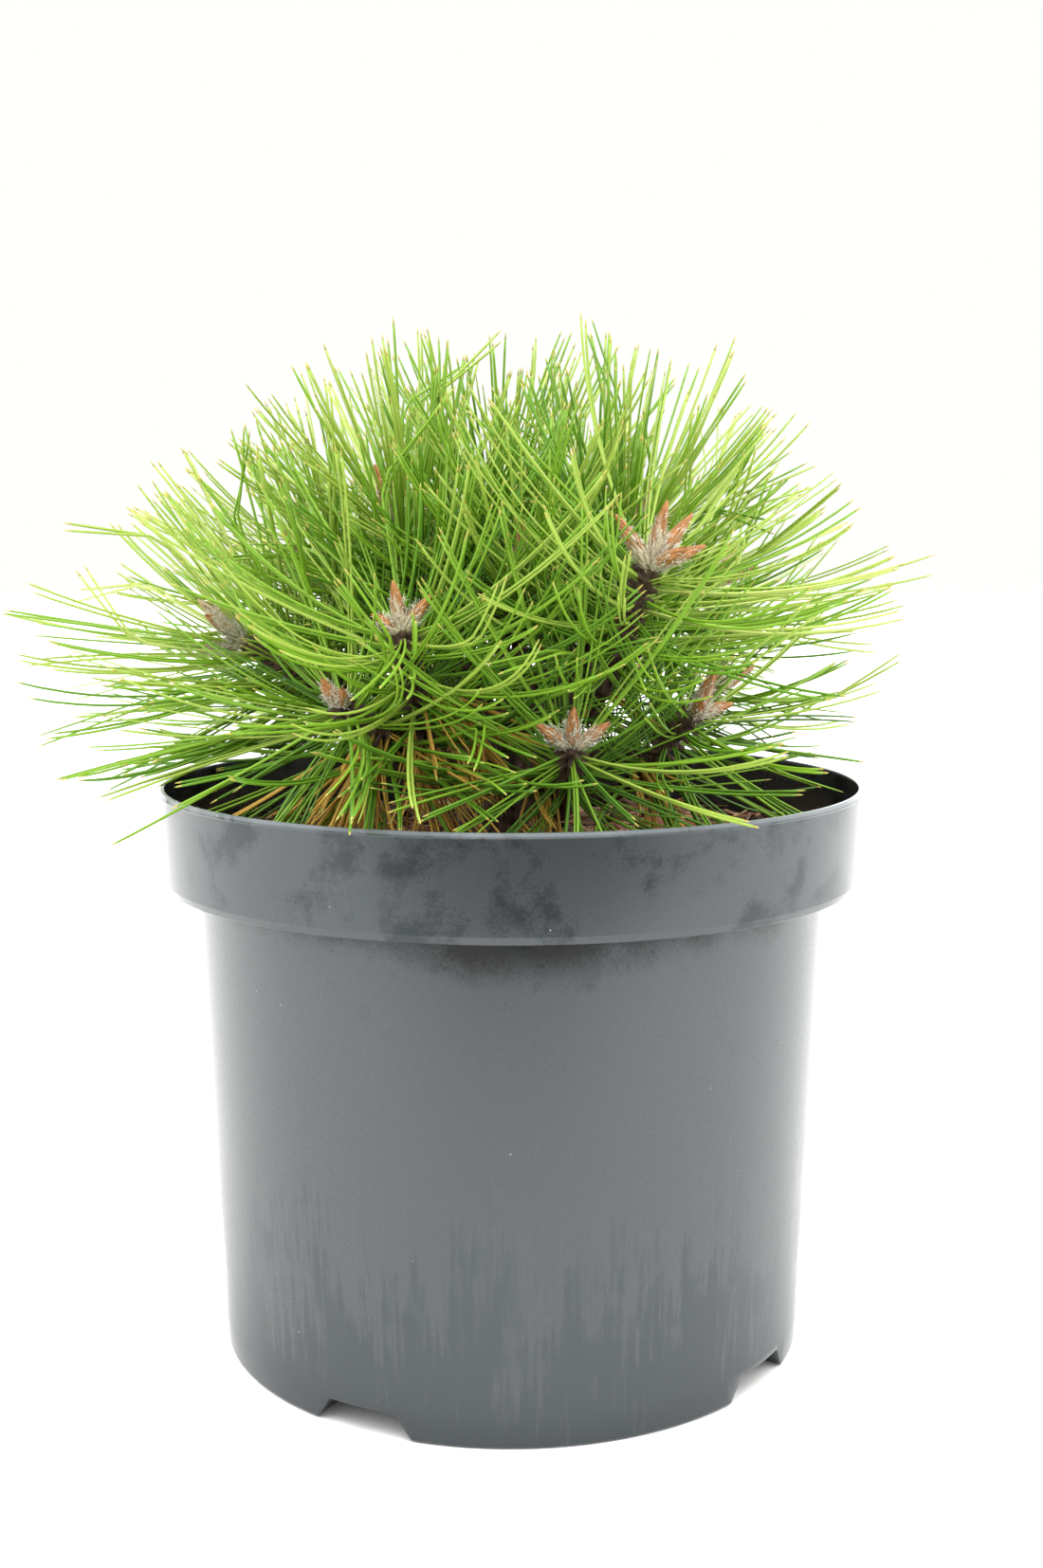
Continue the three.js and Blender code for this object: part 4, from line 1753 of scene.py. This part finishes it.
    def paired(
        self,
        own: int,
        low_end: float,
        root: Array,
        leaves: Array,
        curls: Array,
        length: Array,
        rng: np.random.Generator,
        dim: Array,
    ) -> Strands:
        """Make each needle into a pair that stays nearly side by side.

        Args:
            own: The shoot's place in the list.
            low_end: Height that they stay above.
            root: Where each pair starts.
            leaves: The way it leaves.
            curls: The way it ends up.
            length: How long it is.
            rng: The shoot's stream of numbers.
            dim: What is added to each pair's tone.

        Returns:
            The needles that found room.
        """
        count = len(root)
        end_scatter, length_scatter, tone_scatter, hook_differs = self.twin_scatter
        at_root, at_end = self.parts
        apart = square_to(leaves, rng)
        bow = square_to(leaves, rng) * rng.normal(0, self.bow, count)[:, None]
        hooked = rng.random(count) < self.hooked
        hook = square_to(leaves, rng) * (hooked * rng.uniform(*self.hooks, count))[:, None]
        spread = np.abs(rng.normal(0, self.parting, count))[:, None]
        shade = rng.normal(0, tone_scatter, count)
        twins = []
        for side in (-1, 1):
            wander = rng.normal(0, end_scatter, (count, 3))
            ends = unit(curls + apart * spread * side * at_end + wander)
            starts = unit(leaves + apart * spread * side * at_root)
            sized = length * (1 + rng.normal(0, length_scatter, count))
            base = root + apart * side * self.half_gap
            kinks = hook * (1 + hook_differs * side)
            paths, kept = self.settled(own, low_end, base, starts, ends, bow, kinks, sized)
            tone = self.tone(paths, np.random.default_rng(own * 7 + 1)) + shade + dim
            twins.append((paths[kept], (apart * side)[kept], tone[kept], base[kept], starts[kept]))
        return Strands(*(np.concatenate(both) for both in zip(*twins)))

    def group(self, tone: Array) -> Array:
        """Deal needles out to the colours by their tone.

        Args:
            tone: The needles' tones.

        Returns:
            Each needle's place in Green, whose last colour is the withered ones'.
        """
        last = len(Green) - 1
        return np.where(tone < WITHERED_BELOW, last, last - 1 - np.searchsorted(self.tone_edges, tone))

    def build(self) -> None:
        """Grow every shoot's needles and join them, each colour apart."""
        heaps = [Heap() for _ in Green]
        tips, sheaths = Heap(), Heap()
        grown = [self.withered(number, tuft) for number, tuft in enumerate(self.tufts)]
        for own, shoot in enumerate(SHOOTS):
            grown.append(self.year_growth(own, shoot))
            if shoot.leaves_at is not None:
                grown.append(self.old_growth(own, shoot))
        for strands in grown:
            groups = self.group(strands.tone)
            for number, heap in enumerate(heaps):
                chosen = groups == number
                self.add_needles(heap, tips, strands.paths[chosen], strands.apart[chosen])
            self.add_sheaths(sheaths, strands)
        log.info("needles: %d", sum(len(strands.paths) for strands in grown))
        nodes = [f"needles_{s.name}" for s in SHOOTS]
        for heap, green in zip(heaps, Green):
            piece = heap.make(green.value.name.replace("needle_", "needles_"))
            dress(piece, green.value, "needles", *nodes)
        # Tips are horny and shine a little, and sheaths are dry and papery.
        dress(tips.make("needle_tips"), PlainFinish("needle_tip_straw", "b3ab52", 0.5), "needles")
        dress(sheaths.make("needle_sheaths"), PlainFinish("needle_sheath_brown", "4b3a2c", 0.8), "needles")

    def add_needles(self, heap: Heap, tips: Heap, paths: Array, apart: Array) -> None:
        """Add needles to their colour's heap, and their pale tips to another.

        Args:
            heap: The colour's heap.
            tips: The tips' heap.
            paths: The needles' lines.
            apart: The way from each to its twin.
        """
        if not len(paths):
            return
        length = np.linalg.norm(np.diff(paths, axis=1), axis=2).sum(1)
        last, before = paths[:, -1], paths[:, -2]
        way = unit(last - before)
        cut = np.minimum(self.tip_length, length * 0.1)[:, None]
        stop = last - way * cut
        body = paths.copy()
        body[:, -1] = stop
        swell = np.interp(np.linspace(0, 1, self.points), *NEEDLE_SWELL)
        heap.bars(body, np.tile(swell * self.width, (len(paths), 1)), NEEDLE_SECTION, apart)
        tip = np.stack([stop - way * 0.3, stop + way * cut * 0.55, last], axis=1)
        tips.bars(tip, np.tile(TIP_WIDTHS * self.width, (len(paths), 1)), NEEDLE_SECTION, apart)

    def add_sheaths(self, heap: Heap, strands: Strands) -> None:
        """Add the papery sheath round the foot of each needle.

        Args:
            heap: The sheaths' heap.
            strands: The needles.
        """
        paths = strands.root[:, None] + strands.leaves[:, None] * SHEATH_REACH[None, :, None]
        heap.bars(paths, np.tile(SHEATH_WIDTHS, (len(paths), 1)), ROUND_SECTION, strands.apart)


# Winter buds


@dataclass
class WinterBuds:
    """The buds at each shoot's tip, clad in overlapping scales with pale fringes.

    Attributes:
        length: Length of a usual bud.
        radius: Its widest radius.
        scales: How many scales a bud has.
        hairs: How many fringe hairs a bud has.
        woolly: Shoots whose buds are paler and have three times the hairs.
        fans: Lean and turn, in degrees, and relative length of each bud, for clusters that show.
        usual_lean: Lean of a usual cluster's middle bud and of its side buds, in degrees.
        first_turn: What is added to the side buds' turns, in degrees.
        side_share: Length of a side bud next to the middle one.
        starts_at: Distance from the shoot's end to a bud's foot.
        core_share: Radius of a bud's core next to its outline.
        scaled: Shares of the length between which scales start.
        scale_reach: How much of the length a scale covers.
        shortens: How much less of it scales at the tip cover.
        scale_lift: How far a scale's end stands off.
        closes: How much less far it stands off at the tip.
        flares: Power by which a scale comes away along its length.
        scale_sits: Share of the outline that a scale sits at, and the distance added to it.
        scale_width: Width of scales at a bud's foot and at its tip, next to the usual.
        scale_scatter: Scatter of the scales' starts, turns and tones.
        tint_edges: Tones that part the scales' colours, from pale to red.
        wool_pale: How much lower the tones of woolly buds are.
        hair_spread: The two shapes of the hairs' spread along a bud, and how far up it goes.
        hair_leans: How far hairs lean outwards.
        hair_scatter: Scatter of their directions at the root and at the end.
        hair_lengths: Their lengths.
    """

    length: float = 22.0
    radius: float = 2.35
    scales: int = 64
    hairs: int = 110
    usual_lean: tuple[float, float] = (6.0, 38.0)
    first_turn: float = 20.0
    side_share: float = 0.88
    starts_at: float = 0.5
    core_share: float = 0.86
    scaled: tuple[float, float] = (0.0, 0.8)
    scale_reach: tuple[float, float] = (0.24, 0.3)
    shortens: float = 0.25
    scale_lift: tuple[float, float] = (0.1, 0.9)
    closes: float = 0.7
    flares: float = 2.2
    scale_sits: tuple[float, float] = (0.9, 0.12)
    scale_width: tuple[float, float] = (1.15, 0.85)
    scale_scatter: tuple[float, float, float] = (0.012, 0.12, 0.16)
    tint_edges: tuple[float, float] = (0.28, 0.5)
    wool_pale: float = 0.3
    hair_spread: tuple[float, float, float] = (1.2, 1.9, 0.85)
    hair_leans: tuple[float, float] = (0.4, 1.2)
    hair_scatter: tuple[float, float] = (0.3, 0.5)
    hair_lengths: tuple[float, float] = (1.2, 3.0)
    woolly: tuple[str, ...] = ("left_tip",)
    fans: dict[str, list[tuple[float, float, float]]] = field(
        default_factory=lambda: {
            "front_right_upper": [
                (10, 80, 1.0),
                (36, 12, 1.0),
                (48, 160, 1.05),
                (60, -12, 0.9),
                (38, -70, 0.7),
            ],
            "front_left_upper": [(16, 110, 0.75), (44, 20, 0.7), (50, 190, 0.5)],
            "front_low": [(30, 90, 0.66), (64, 26, 0.64), (64, 154, 0.64)],
            "right_low": [(16, 110, 0.8), (34, 60, 0.7), (62, -8, 0.66), (40, 190, 0.6)],
            "left_low": [(14, 95, 0.55), (40, 150, 0.4), (40, 30, 0.4)],
            "left_tip": [(12, 80, 1.0), (34, 10, 0.9), (36, 150, 0.95), (40, -80, 0.8)],
        }
    )

    def directions(self, shoot: Shoot) -> list[tuple[Array, float]]:
        """List the way and the relative length of each of a shoot's buds.

        Args:
            shoot: The shoot.

        Returns:
            A unit vector and a share of the usual length for each bud.
        """
        side = unit(np.cross(shoot.direction, UP)) * -1
        rise = np.cross(side, shoot.direction) * -1
        rise = rise if rise[2] > 0 else -rise
        middle_lean, side_lean = self.usual_lean
        rule = [(middle_lean, 0.0, 1.0)]
        for index in range(1, shoot.buds):
            turn = self.first_turn + index * 360 / (shoot.buds - 1)
            rule.append((side_lean, turn, self.side_share))
        out = []
        for lean, turn, share in self.fans.get(shoot.name, rule):
            around = side * math.cos(math.radians(turn)) + rise * math.sin(math.radians(turn))
            way = shoot.direction * math.cos(math.radians(lean)) + around * math.sin(math.radians(lean))
            out.append((way, share))
        return out

    def outline(self, share: Array) -> Array:
        """Find a bud's radius, next to its widest, at shares of its length."""
        return np.interp(share, *BUD_OUTLINE)

    def add_bud(
        self,
        base: Array,
        way: Array,
        size: float,
        wool: bool,
        heaps: dict[str, Heap],
        rng: np.random.Generator,
    ) -> None:
        """Add one bud: its core, its scales and the hairs between them.

        Args:
            base: Its foot.
            way: The way it points.
            size: Its length next to the usual.
            wool: Whether it is paler and more hairy than the others.
            heaps: The core's, the scales' and the hairs' heaps.
            rng: A stream of numbers.
        """
        stout = 0.7 + 0.3 * size
        length, radius = self.length * size, self.radius * stout
        steps = np.linspace(0, 1, 9)
        core = base + way * (steps * length)[:, None]
        across = square_to(way[None], rng)[0]
        deep = np.cross(way, across)
        girth = self.outline(steps) * radius * self.core_share
        heaps["core"].bars(core[None], girth[None], ROUND_SECTION, across[None])
        count = self.scales
        by_start, by_turn, by_tone = self.scale_scatter
        start = np.linspace(*self.scaled, count) + rng.normal(0, by_start, count)
        turn = np.arange(count) * GOLDEN_ANGLE + rng.normal(0, by_turn, count)
        reach = lerp(*self.scale_reach, rng.random(count)) * (1 - self.shortens * start)
        t = np.linspace(0, 1, len(SCALE_WIDTHS))
        share = np.clip(start[:, None] + reach[:, None] * t[None], 0, 1)
        out = across * np.cos(turn)[:, None] + deep * np.sin(turn)[:, None]
        stands_off = rng.uniform(*self.scale_lift, count)[:, None]
        lift = stands_off * (1 - start[:, None] * self.closes) * t[None] ** self.flares
        part, added = self.scale_sits
        away = self.outline(share) * radius * part + added + lift
        paths = base + way * (share * length)[..., None] + out[:, None] * away[..., None]
        widths = SCALE_WIDTHS[None] * lerp(*self.scale_width, start)[:, None] * stout
        tone = start + rng.normal(0, by_tone, count) - (self.wool_pale if wool else 0.0)
        colours = np.searchsorted(self.tint_edges, tone, side="right")
        for number, name in enumerate(("pale", "brown", "red")):
            chosen = colours == number
            heaps[name].bars(paths[chosen], widths[chosen], SCALE_SECTION, out[chosen])
        for _ in range(3 if wool else 1):
            self.add_hairs(base, way, length, radius, across, deep, heaps["hair"], rng)

    def add_hairs(
        self,
        base: Array,
        way: Array,
        length: float,
        radius: float,
        across: Array,
        deep: Array,
        heap: Heap,
        rng: np.random.Generator,
    ) -> None:
        """Add the pale fringe hairs that stand out between the lower scales.

        Args:
            base: The bud's foot.
            way: The way it points.
            length: Its length.
            radius: Its widest radius.
            across: A direction square to it.
            deep: The other one.
            heap: Where the hairs go.
            rng: A stream of numbers.
        """
        count = self.hairs
        low_shape, high_shape, upto = self.hair_spread
        share = rng.beta(low_shape, high_shape, count) * upto
        turn = rng.uniform(0, 2 * math.pi, count)
        out = across * np.cos(turn)[:, None] + deep * np.sin(turn)[:, None]
        root = base + way * (share * length)[:, None] + out * (self.outline(share) * radius)[:, None]
        at_root, at_end = self.hair_scatter
        outward = out * rng.uniform(*self.hair_leans, count)[:, None]
        lean = unit(outward + way + rng.normal(0, at_root, (count, 3)))
        bend = unit(lean + rng.normal(0, at_end, (count, 3)))
        size = rng.uniform(*self.hair_lengths, count)[:, None]
        middle = root + lean * size * 0.5
        paths = np.stack([root, middle, middle + bend * size * 0.5], axis=1)
        heap.bars(paths, np.tile(HAIR_WIDTHS, (count, 1)), HAIR_SECTION, out)

    def build(self) -> None:
        """Make every shoot's buds, each colour apart."""
        heaps = {name: Heap() for name in ("core", "pale", "brown", "red", "hair")}
        for number, shoot in enumerate(SHOOTS):
            rng = np.random.default_rng(BUD_SEED + number)
            for way, share in self.directions(shoot):
                base = shoot.end + way * self.starts_at
                self.add_bud(base, way, share, shoot.name in self.woolly, heaps, rng)
        # Fringes and hairs are dry and matt, and only the fresh red scales shine a little.
        finishes = {
            "core": PlainFinish("bud_heart_brown", "7a523a", 0.6),
            "pale": PlainFinish("bud_fringe_grey", "b8aa90", 0.8),
            "brown": PlainFinish("bud_scale_brown", "a3805f", 0.6),
            "red": PlainFinish("bud_scale_red_brown", "b07845", 0.5),
            "hair": PlainFinish("bud_hair_white", "e2dccf", 0.7),
        }
        for name, heap in heaps.items():
            dress(heap.make(f"buds_{name}"), finishes[name], "bark")


# Growing medium

# Chips and fallen needles: cross-sections, places along a chip next to its length, and widths there

CHIP_SECTION = np.array([(-1, -0.3), (0, -0.42), (1, -0.25), (0.85, 0.3), (0.1, 0.42), (-0.9, 0.26)])
CHIP_STEPS = np.array([-0.5, -0.4, 0.05, 0.42, 0.5])
CHIP_WIDTHS = np.array([0.35, 0.85, 1.0, 0.8, 0.3])
LITTER_WIDTHS = np.array([0.3, 0.9, 1, 1, 0.8, 0.2])
CHIP_SEED = 40
LITTER_SEED = 41


@dataclass
class PottingMix:
    """The bark mix in the container: a crumbly bed with chips and fallen needles on it.

    Attributes:
        tub: The container.
        level: Height of the bed at the wall.
        heaped: How much higher it is in the middle.
        chips: How many chips are strewn.
        litter: How many fallen needles are strewn.
        hollow: The dip round the stem's foot: its middle to the right and back, its radius and its depth.
        gap: How far the bed keeps from the wall.
        reliefs: Kind, size and strength of each layer of crumbs, from coarse to fine.
        strewn_to: Distance from the axis within which chips and needles are strewn.
        drop_from: Height that they are dropped from.
        bare_share: Share of the hollow's radius that stays bare.
        chip_lengths: Shape and scale of the spread of the chips' lengths, and what is added to them.
        chip_slim: Width of a chip next to its length.
        chip_tilt: Scatter of how chips tilt.
        chip_bend: Scatter of how they bend, next to their length.
        chip_lies: How high their middle is over the bed.
        chip_ragged: How much their width varies along them.
        chip_shares: Share of the chips in each colour.
        chip_gap: How far chips keep from the collar's inside.
        litter_lengths: Length of a fallen needle.
        litter_bend: Scatter of how fallen needles bend, next to their length.
        litter_lies: How high they lie over the bed.
        litter_lift: How much higher they are then lifted.
        litter_within: Lowest and highest that they lie, counted from the level.
        litter_gap: How far they keep within the collar's foot radius.
    """

    tub: NurseryTub
    level: float = 173.2
    heaped: float = 1.2
    chips: int = 1500
    litter: int = 260
    hollow: tuple[float, float, float, float] = (6.0, 38.0, 15.0, 12.0)
    gap: float = 0.4
    reliefs: tuple[tuple[str, float, float], ...] = (
        ("CLOUDS", 16.0, 3.2),
        ("VORONOI", 5.0, 3.0),
        ("CLOUDS", 3.0, 2.2),
    )
    strewn_to: float = 115.0
    drop_from: float = 190.0
    bare_share: float = 0.75
    chip_lengths: tuple[float, float, float] = (4.0, 1.5, 2.8)
    chip_slim: tuple[float, float] = (0.22, 0.5)
    chip_tilt: float = 0.28
    chip_bend: float = 0.06
    chip_lies: tuple[float, float] = (-0.3, 0.9)
    chip_ragged: tuple[float, float] = (0.75, 1.2)
    chip_shares: tuple[float, ...] = (0.3, 0.3, 0.24, 0.16)
    chip_gap: float = 0.8
    litter_lengths: tuple[float, float] = (18.0, 55.0)
    litter_bend: float = 0.5
    litter_lies: tuple[float, float] = (0.6, 2.2)
    litter_lift: float = 0.6
    litter_within: tuple[float, float] = (-0.5, 7.0)
    litter_gap: float = 4.0

    def bed(self) -> Piece:
        """Spin the bed, with closely spaced rings on top, and roughen its top.

        Returns:
            The closed bed.
        """
        tub = self.tub
        wall = tub.wall + self.gap
        edge = tub.collar_foot_radius - wall
        shelf = tub.collar_foot_z + tub.wall + self.gap
        under = tub.channel_height + tub.wall + 0.8
        rings = [(float(r), self.level + self.heaped * (1 - r / edge)) for r in np.arange(114, 1, -2.4)]
        profile = [
            (0.0, under),
            (tub.wall_radius(under) - wall - self.gap, under),
            (tub.wall_top_radius - wall - self.gap, shelf),
            (edge, shelf),
            (edge, self.level - 1.5),
            *rings,
            (0.0, self.level + self.heaped),
        ]
        bed = spun("soil_bed", profile, 160)
        top = bed.vertex_groups.new(name="top")
        low, inner = (self.level - 1) * MM, (edge - 1) * MM
        chosen = [v.index for v in bed.data.vertices if v.co.z > low and v.co.xy.length < inner]
        top.add(chosen, 1.0, "REPLACE")
        for kind, size, strength in self.reliefs:
            displace(bed, kind, size, strength, mid_level=0.6, vertex_group="top", direction="Z")
        x, y, radius, depth = self.hollow
        for index in chosen:
            place = bed.data.vertices[index].co
            near = 1 - math.hypot(place.x / MM - x, place.y / MM - y) / radius
            if near > 0:
                place.z -= depth * MM * min(1.0, near * 1.8)
        bed.vertex_groups.clear()
        return bed

    def scattered(self, count: int, top: BVHTree, rng: np.random.Generator) -> tuple[Array, Array]:
        """Find places on the bed.

        Args:
            count: How many.
            top: The bed's surface.
            rng: A stream of numbers.

        Returns:
            The points and the surface's direction there.
        """
        right, back, reach, _ = self.hollow
        points, normals = [], []
        for _ in range(count):
            radius, turn = self.strewn_to * math.sqrt(rng.random()), rng.uniform(0, 2 * math.pi)
            x, y = radius * math.cos(turn), radius * math.sin(turn)
            if math.hypot(x - right, y - back) < reach * self.bare_share:
                continue
            above = Vector((x * MM, y * MM, self.drop_from * MM))
            hit, normal, _, _ = top.ray_cast(above, Vector((0, 0, -1)))
            if hit:
                points.append(np.array(hit) / MM)
                normals.append(np.array(normal))
        return np.array(points), unit(np.array(normals) + UP)

    def add_chips(self, heaps: list[Heap], top: BVHTree) -> None:
        """Lay bark chips: flat splinters with broken ends, a few to a heap of each colour.

        Args:
            heaps: One for each colour.
            top: The bed's surface.
        """
        rng = np.random.default_rng(CHIP_SEED)
        places, normals = self.scattered(self.chips, top, rng)
        count = len(places)
        shape, scale, added = self.chip_lengths
        long = rng.gamma(shape, scale, count) + added
        wide = long * rng.uniform(*self.chip_slim, count)
        flat = unit(normals + rng.normal(0, self.chip_tilt, (count, 3)))
        along = square_to(flat, rng)
        t = CHIP_STEPS
        curl = rng.normal(0, self.chip_bend, (count, 1, 1))
        bend = curl * (t**2)[None, :, None] * long[:, None, None]
        centre = places + normals * rng.uniform(*self.chip_lies, count)[:, None]
        paths = centre[:, None] + along[:, None] * (t[None] * long[:, None])[..., None] + flat[:, None] * bend
        ragged = rng.uniform(*self.chip_ragged, (count, len(t)))
        widths = CHIP_WIDTHS[None] * (wide / 2)[:, None] * ragged
        choice = rng.choice(len(heaps), count, p=self.chip_shares)
        reach = np.linalg.norm(paths[..., :2], axis=-1).max(1) + wide / 2
        choice[reach > self.tub.collar_foot_radius - self.tub.wall - self.chip_gap] = -1
        for number, heap in enumerate(heaps):
            chosen = choice == number
            heap.bars(paths[chosen], widths[chosen], CHIP_SECTION, flat[chosen])

    def add_litter(self, heap: Heap, top: BVHTree) -> None:
        """Lay fallen brown needles on the bed.

        Args:
            heap: Where they go.
            top: The bed's surface.
        """
        rng = np.random.default_rng(LITTER_SEED)
        places, normals = self.scattered(self.litter, top, rng)
        each = (len(places), 1, 1)
        limit = self.tub.collar_foot_radius - self.litter_gap
        along = square_to(normals, rng)
        size = rng.uniform(*self.litter_lengths, len(places))[:, None, None]
        t = np.linspace(-0.5, 0.5, len(LITTER_WIDTHS))[None, :, None]
        bend = np.cross(normals, along)[:, None] * (t**2) * rng.normal(0, self.litter_bend, each) * size
        paths = places[:, None] + normals[:, None] * rng.uniform(*self.litter_lies, each)
        paths = paths + along[:, None] * t * size + bend + UP * self.litter_lift
        low, high = self.litter_within
        paths[..., 2] = np.clip(paths[..., 2], self.level + low, self.level + high)
        kept = (np.linalg.norm(paths[..., :2], axis=-1) < limit).all(1)
        heap.bars(paths[kept], np.tile(LITTER_WIDTHS, (kept.sum(), 1)), NEEDLE_SECTION, normals[kept])

    def build(self) -> None:
        """Make the bed, the chips and the litter."""
        bed = self.bed()
        make_active(bed)
        bpy.ops.object.shade_smooth()
        top = BVHTree.FromObject(bed, bpy.context.evaluated_depsgraph_get())
        dress(bed, BarkMix(), "potting_bark", "soil")
        # Dry bark and dead needles are matt, and each chip is of one even colour.
        colours = {"red": "8a5840", "tan": "b58f6f", "dark": "3a271d", "grey": "786353"}
        heaps = [Heap() for _ in colours]
        self.add_chips(heaps, top)
        for (name, colour), heap in zip(colours.items(), heaps):
            finish = PlainFinish(f"bark_chip_{name}", colour, 0.9)
            dress(heap.make(f"chips_{name}", smooth=False), finish, "potting_bark")
        fallen = Heap()
        self.add_litter(fallen, top)
        finish = PlainFinish("dead_needle_brown", "8c6032", 0.8)
        dress(fallen.make("fallen_needles"), finish, "potting_bark")


# Studio


@dataclass
class Studio:
    """The pale floor, the soft light and the camera.

    Attributes:
        eye: Where the camera is.
        pitch: How far it looks down, in degrees.
        lens: Its focal length.
        long_side: Height of its sensor.
        floor_size: Side of the floor, in metres.
        floor_front: How far the floor's front edge is behind the part's middle, in metres.
        floor_z: Height of the floor, in metres, just below the part to keep the two faces apart.
        lamp_at: Where the softbox hangs, in metres.
        lamp_size: Its side, in metres.
        lamp_power: Its power, in watts.
        from_front: How low and high across the front the surrounding light starts and ends its rise.
        soft_light: Strength of the surrounding light in front and behind.
    """

    eye: Spot = (3.45, -625.0, 274.8)
    pitch: float = 7.42
    lens: float = 41.35
    long_side: float = 36.0
    floor_size: float = 12.0
    floor_front: float = -0.56
    floor_z: float = -0.0003
    lamp_at: Spot = (0.1, -0.5, 1.6)
    lamp_size: float = 1.2
    lamp_power: float = 16.0
    from_front: tuple[float, float] = (-0.95, -0.35)
    soft_light: tuple[float, float] = (1.0, 2.8)

    def build(self) -> None:
        """Set up the whole studio."""
        self.add_camera()
        self.add_floor()
        self.add_light()
        bpy.context.scene.view_settings.view_transform = "Standard"

    def add_camera(self) -> None:
        """Place the camera where the photograph was taken from."""
        camera = bpy.data.cameras.new("camera")
        camera.sensor_fit = "VERTICAL"
        camera.sensor_height = self.long_side
        camera.lens = self.lens
        camera.clip_start, camera.clip_end = 0.01, 50
        viewer = bpy.data.objects.new("camera", camera)
        viewer.location = Vector(self.eye) * MM
        viewer.rotation_euler = (math.radians(90 - self.pitch), 0, 0)
        bpy.context.scene.collection.objects.link(viewer)
        bpy.context.scene.camera = viewer

    def add_floor(self) -> None:
        """Lay a wide matt white floor."""
        deselect_all()
        middle = self.floor_size / 2 + self.floor_front
        bpy.ops.mesh.primitive_plane_add(size=self.floor_size, location=(0, middle, self.floor_z))
        bpy.ops.object.transform_apply(location=True, rotation=False, scale=False)
        floor = bpy.context.object
        floor.name = "floor"
        floor.data.materials.append(PlainFinish("matt_white_paper", "f4f4f2", 0.9).build())
        floor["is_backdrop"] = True

    def add_light(self) -> None:
        """Surround the plant with soft white light, less of it from the front, and hang a softbox."""
        scene = bpy.context.scene
        world = bpy.data.worlds.new("studio")
        scene.world = world
        world.use_nodes = True
        tree = world.node_tree
        tree.nodes.clear()
        way = add_node(tree, "TexCoord").outputs["Generated"]
        back = add_node(tree, "SeparateXYZ", {0: way}).outputs["Y"]
        (low, high), (dim, full) = self.from_front, self.soft_light
        strength = add_node(tree, "MapRange", {0: back, 1: low, 2: high, 3: dim, 4: full})
        soft = add_node(tree, "Background", {"Color": (1, 1, 1, 1), "Strength": strength})
        seen = add_node(tree, "Background", {"Color": (1.0, 1.0, 0.98, 1), "Strength": 1.0})
        eye = add_node(tree, "LightPath").outputs["Is Camera Ray"]
        add_node(tree, "OutputWorld", {0: add_node(tree, "MixShader", {0: eye, 1: soft, 2: seen})})
        light = bpy.data.lights.new("key", "AREA")
        light.size, light.energy = self.lamp_size, self.lamp_power
        lamp = bpy.data.objects.new("key", light)
        lamp.location = self.lamp_at
        looks = Vector((0, 0, 0.2)) - Vector(self.lamp_at)
        lamp.rotation_euler = looks.to_track_quat("-Z", "Y").to_euler()
        scene.collection.objects.link(lamp)


def main() -> None:
    """Build the plant, its container and the studio."""
    logging.basicConfig(level=logging.INFO, format="%(message)s")
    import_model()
    cad_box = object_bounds()
    corners = tuple(np.array(corner) / MM for corner in cad_box)
    skeleton = Skeleton()
    tub = NurseryTub()
    Studio().build()
    tub.build()
    PottingMix(tub).build()
    Wood(skeleton).build()
    Foliage(skeleton, tub, corners).build()
    WinterBuds().build()


if __name__ == "__main__":
    main()
